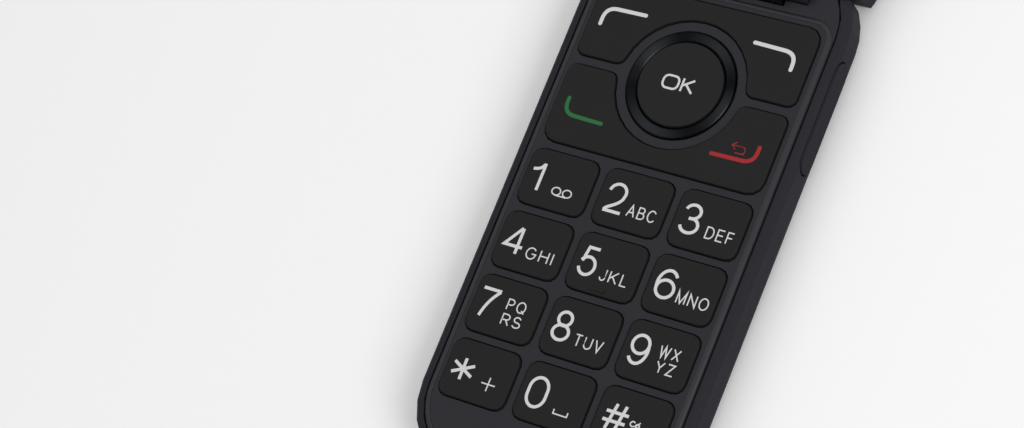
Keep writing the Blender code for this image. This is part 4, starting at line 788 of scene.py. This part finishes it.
class PHONE_OT_centre_key(bpy.types.Operator):
    """Finishes the centre key and prints its two wide letters"""
    bl_idname = "phone.centre_key"
    bl_label = "Centre key"

    def execute(self, context):
        sizes, colours = context.scene.phone_sizes, context.scene.phone_colours
        keys = tuple(colours.keys)
        cap = moulding("Moulded polycarbonate centre key, satin", keys, 0.25 * MM, 0.004 * MM, 0.45, 0.08)
        give(cap, "ok_key")
        ink = printed_ink("Screen-printed light ink, centre key", tuple(colours.print))
        letters = [(in_metres(line), sizes.centre_stroke) for line in CENTRE_LETTERS]
        print_piece("centre_key_print", letters, highest("ok_key"), ink, "ok_key")
        return {"FINISHED"}


class PHONE_OT_side_key(bpy.types.Operator):
    """Finishes the volume key and the switch strip behind it"""
    bl_idname = "phone.side_key"
    bl_label = "Side key"

    def execute(self, context):
        shell = tuple(context.scene.phone_colours.shell)
        cap = moulding("Moulded ABS side key, fine grain", shell, 0.3 * MM, 0.01 * MM, 0.5, 0.01)
        give(cap, "volume_key")
        give(circuit_board("Solder-resist switch strip"), "volume_switch_strip")
        return {"FINISHED"}


class PHONE_OT_hinge(bpy.types.Operator):
    """Finishes the gloss barrel, the spring cam module, the bush and the rolled display flex"""
    bl_idname = "phone.hinge"
    bl_label = "Hinge"

    def execute(self, context):
        gloss = gloss_moulding("Polished gloss ABS barrel", linear("0b0b0d"), 0.09)
        give(gloss, "hinge_barrel")
        low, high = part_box("hinge_barrel")
        # A smooth sleeve hides the flats of the CAD's barrel.
        radius = HINGE_AXIS[1] - low[1] + 2 * SKIN
        bm = bmesh.new()
        bmesh.ops.create_cone(
            bm, cap_ends=True, segments=BARREL_SIDES, radius1=radius, radius2=radius, depth=high[0] - low[0]
        )
        ends = [e for e in bm.edges if abs(e.verts[0].co.z - e.verts[1].co.z) < radius / 100]
        bmesh.ops.bevel(
            bm, geom=ends, offset=0.3 * MM, segments=3, profile=0.5, affect="EDGES", material=-1,
            clamp_overlap=True,
        )
        bmesh.ops.rotate(bm, verts=bm.verts, matrix=Matrix.Rotation(90 * DEGREE, 3, "Y"))
        bmesh.ops.translate(bm, verts=bm.verts, vec=HINGE_AXIS)
        new_piece("barrel_sleeve", bm, gloss, "lid", sharp=50)
        give(sheet_metal("Nickel-plated zinc cam module", linear("b9b6ae"), 0.3 * MM, 0.3), "hinge_cam_module")
        give(sheet_metal("Turned stainless bush", linear("c4c4c6"), 0.2 * MM, 0.22), "hinge_bush")
        give(polyimide_film("Polyimide display flex"), "display_flex_roll")
        return {"FINISHED"}


class PHONE_OT_lid_parts(bpy.types.Operator):
    """Finishes the screens, windows, camera, flash, earpiece, magnet and bumpers of the lid"""
    bl_idname = "phone.lid_parts"
    bl_label = "Lid parts"

    def execute(self, context):
        ring = tuple(context.scene.phone_colours.ring)
        glass = tinted_glass("Toughened glass over a black border", linear("060709"), 12 * MM)
        give(glass, "screen_window", "outer_window")
        panel = tinted_glass("Liquid crystal panel, unlit", linear("14181c"), 6 * MM)
        give(panel, "main_display", "outer_display")
        give(tinted_glass("Coated camera glass", linear("0a0a14"), 3 * MM), "camera_window")
        give(sheet_metal("Turned aluminium camera ring", ring, 0.2 * MM, 0.3), "camera_ring")
        give(facet_diffuser("Milky acrylic flash diffuser", linear("e8e4d2")), "flash_window")
        give(woven_mesh("Woven steel gauze, blackened", linear("6a6a6c")), "earpiece_mesh")
        give(sheet_metal("Plated steel earpiece can", linear("9a9a98"), 0.3 * MM, 0.35), "earpiece")
        give(sheet_metal("Nickel-plated magnet", linear("b0b0b0"), 0.5 * MM, 0.25), "lid_magnet")
        give(moulding("Moulded camera housing", linear("151517"), 0.4 * MM, 0.01 * MM, 0.6), "camera_module")
        give(circuit_board("Solder-resist lid board"), "lid_board")
        rubber = silicone_rubber("Moulded silicone bumpers", linear("1a1a1c"))
        give(rubber, "lid_bumper_left", "lid_bumper_right")
        return {"FINISHED"}


class PHONE_OT_inner_parts(bpy.types.Operator):
    """Finishes what the lower half holds: board, mat, domes, battery, contacts, sound, radio and port"""
    bl_idname = "phone.inner_parts"
    bl_label = "Inner parts"

    def execute(self, context):
        give(circuit_board("Solder-resist main board"), "main_board")
        give(silicone_rubber("Moulded silicone keypad mat", linear("6f7276")), "keypad_mat")
        give(sheet_metal("Stainless dome sheet", linear("b8bcc0"), 0.6 * MM, 0.3), "dome_sheet")
        give(shrink_sleeve("Shrunk sleeve over the cell", linear("2e3238")), "battery")
        block = moulding("Moulded nylon contact block", linear("1d1d1f"), 0.4 * MM, 0.01 * MM, 0.5)
        give(block, "battery_contacts")
        carrier = moulding("Moulded antenna carrier", linear("b9b5a8"), 0.4 * MM, 0.01 * MM, 0.5)
        give(carrier, "antenna_carrier")
        tinned = sheet_metal("Tinned steel shells", linear("a9a9a5"), 0.4 * MM, 0.35)
        give(tinned, "loudspeaker", "sim_holder", "vibration_motor", "microphone")
        give(sheet_metal("Stainless port shell", linear("8f9091"), 0.3 * MM, 0.25), "charging_port")
        return {"FINISHED"}


# Stage

# The camera: its place, the directions of its right, its top and its back, and its lens in mm
CAMERA_PLACE = (221.51 * MM, -113.71 * MM, 464.9 * MM)
CAMERA_AXES = ((0.85145, 0.37348, -0.36816), (-0.24645, 0.90463, 0.34773), (0.46292, -0.20534, 0.86229))
CAMERA_LENS = 99.44
# Each lamp: its name, place in mm, the point it faces, side in mm and power in watts
LAMPS = (
    ("overhead_softbox", (90, 50, 640), (60, 30, 0), 1400, 4.9),
    ("side_softbox", (1295, -300, 1040), (0, 0, 0), 800, 13.0),
)
# Half the floor's side in metres, and the background's strength as a light and as it is seen
FLOOR_REACH = 3.0
AMBIENT_LIGHT, AMBIENT_SEEN = 0.36, 1.0


class PHONE_OT_stage(bpy.types.Operator):
    """Lays the paper floor and sets the background, the lights and the camera"""
    bl_idname = "phone.stage"
    bl_label = "Stage"

    def execute(self, context):
        scene = context.scene
        paper = tuple(scene.phone_colours.paper)
        self.lay_floor(scene, paper)
        self.set_background(scene, paper)
        self.hang_lamps(scene)
        self.aim_camera(scene)
        scene.view_settings.view_transform = "Standard"
        return {"FINISHED"}

    def lay_floor(self, scene, paper):
        bm = bmesh.new()
        bmesh.ops.create_grid(bm, x_segments=1, y_segments=1, size=FLOOR_REACH)
        mesh = bpy.data.meshes.new("floor")
        bm.to_mesh(mesh)
        bm.free()
        floor = bpy.data.objects.new("floor", mesh)
        scene.collection.objects.link(floor)
        made, tree, shader, place = new_material("Matte paper backdrop")
        fibre = add_node(tree, "TexNoise", {"Vector": place, "Scale": 1 / (4 * MM), "Detail": 2.0})
        tone = add_node(
            tree, "Mix",
            {MIX_FACTOR: fibre.outputs["Fac"], MIX_A: shade(paper, 0.995), MIX_B: shade(paper, 1.005)},
            data_type="RGBA",
        )
        fill(shader, {"Base Color": tone.outputs[MIX_RESULT], "Roughness": 1.0, "Specular IOR Level": 0.0})
        mesh.materials.append(made)

    def set_background(self, scene, paper):
        """The paper's colour all round, brighter where it is seen or mirrored than as a light."""
        world = bpy.data.worlds.new("Studio")
        world.use_nodes = True
        tree = world.node_tree
        rays = add_node(tree, "LightPath", {}).outputs
        seen = rays["Is Camera Ray"]
        for other in ("Is Glossy Ray", "Is Transmission Ray"):
            seen = add_node(tree, "Math", {0: seen, 1: rays[other]}, operation="MAXIMUM").outputs["Value"]
        level = add_node(tree, "MapRange", {"Value": seen, "To Min": AMBIENT_LIGHT, "To Max": AMBIENT_SEEN})
        fill(tree.nodes["Background"], {"Color": (*paper, 1), "Strength": level.outputs["Result"]})
        scene.world = world

    def hang_lamps(self, scene):
        for name, spot, aim, side, power in LAMPS:
            lamp = bpy.data.lights.new(name, "AREA")
            lamp.shape = "SQUARE"
            lamp.size = side * MM
            lamp.energy = power
            light = bpy.data.objects.new(name, lamp)
            light.location = Vector(spot) * MM
            light.rotation_euler = (Vector(aim) * MM - light.location).to_track_quat("-Z", "Y").to_euler()
            scene.collection.objects.link(light)

    def aim_camera(self, scene):
        view = bpy.data.cameras.new("camera")
        view.lens = CAMERA_LENS
        view.sensor_width = 36
        view.clip_start, view.clip_end = 0.01, 10
        camera = bpy.data.objects.new("camera", view)
        camera.matrix_world = Matrix.Translation(CAMERA_PLACE) @ Matrix(CAMERA_AXES).transposed().to_4x4()
        scene.collection.objects.link(camera)
        scene.camera = camera


OPERATORS = (
    PHONE_OT_moulded_case, PHONE_OT_number_keys, PHONE_OT_function_plates, PHONE_OT_navigation_ring,
    PHONE_OT_centre_key, PHONE_OT_side_key, PHONE_OT_hinge, PHONE_OT_lid_parts, PHONE_OT_inner_parts,
    PHONE_OT_stage,
)


class PHONE_PT_finish(bpy.types.Panel):
    """Lists the sizes, the colours and the steps that dress the phone"""
    bl_idname = "PHONE_PT_finish"
    bl_label = "Flip phone"
    bl_space_type = "VIEW_3D"
    bl_region_type = "UI"
    bl_category = "Flip phone"

    def draw(self, context):
        for group in (context.scene.phone_sizes, context.scene.phone_colours):
            box = self.layout.box()
            for name in group.__annotations__:
                box.prop(group, name)
        for operator in OPERATORS:
            self.layout.operator(operator.bl_idname)


CLASSES = (PhoneSizes, PhoneColours, *OPERATORS, PHONE_PT_finish)


def register():
    """Adds the classes, and the sizes and colours that each scene keeps."""
    for made in CLASSES:
        bpy.utils.register_class(made)
    bpy.types.Scene.phone_sizes = bpy.props.PointerProperty(type=PhoneSizes)
    bpy.types.Scene.phone_colours = bpy.props.PointerProperty(type=PhoneColours)


def unregister():
    del bpy.types.Scene.phone_colours
    del bpy.types.Scene.phone_sizes
    for made in reversed(CLASSES):
        bpy.utils.unregister_class(made)


def main():
    """Dresses the phone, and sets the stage."""
    register()
    bpy.ops.phone.moulded_case()
    bpy.ops.phone.number_keys()
    bpy.ops.phone.function_plates()
    bpy.ops.phone.navigation_ring()
    bpy.ops.phone.centre_key()
    bpy.ops.phone.side_key()
    bpy.ops.phone.hinge()
    bpy.ops.phone.lid_parts()
    bpy.ops.phone.inner_parts()
    bpy.ops.phone.stage()


if __name__ == "__main__":
    main()
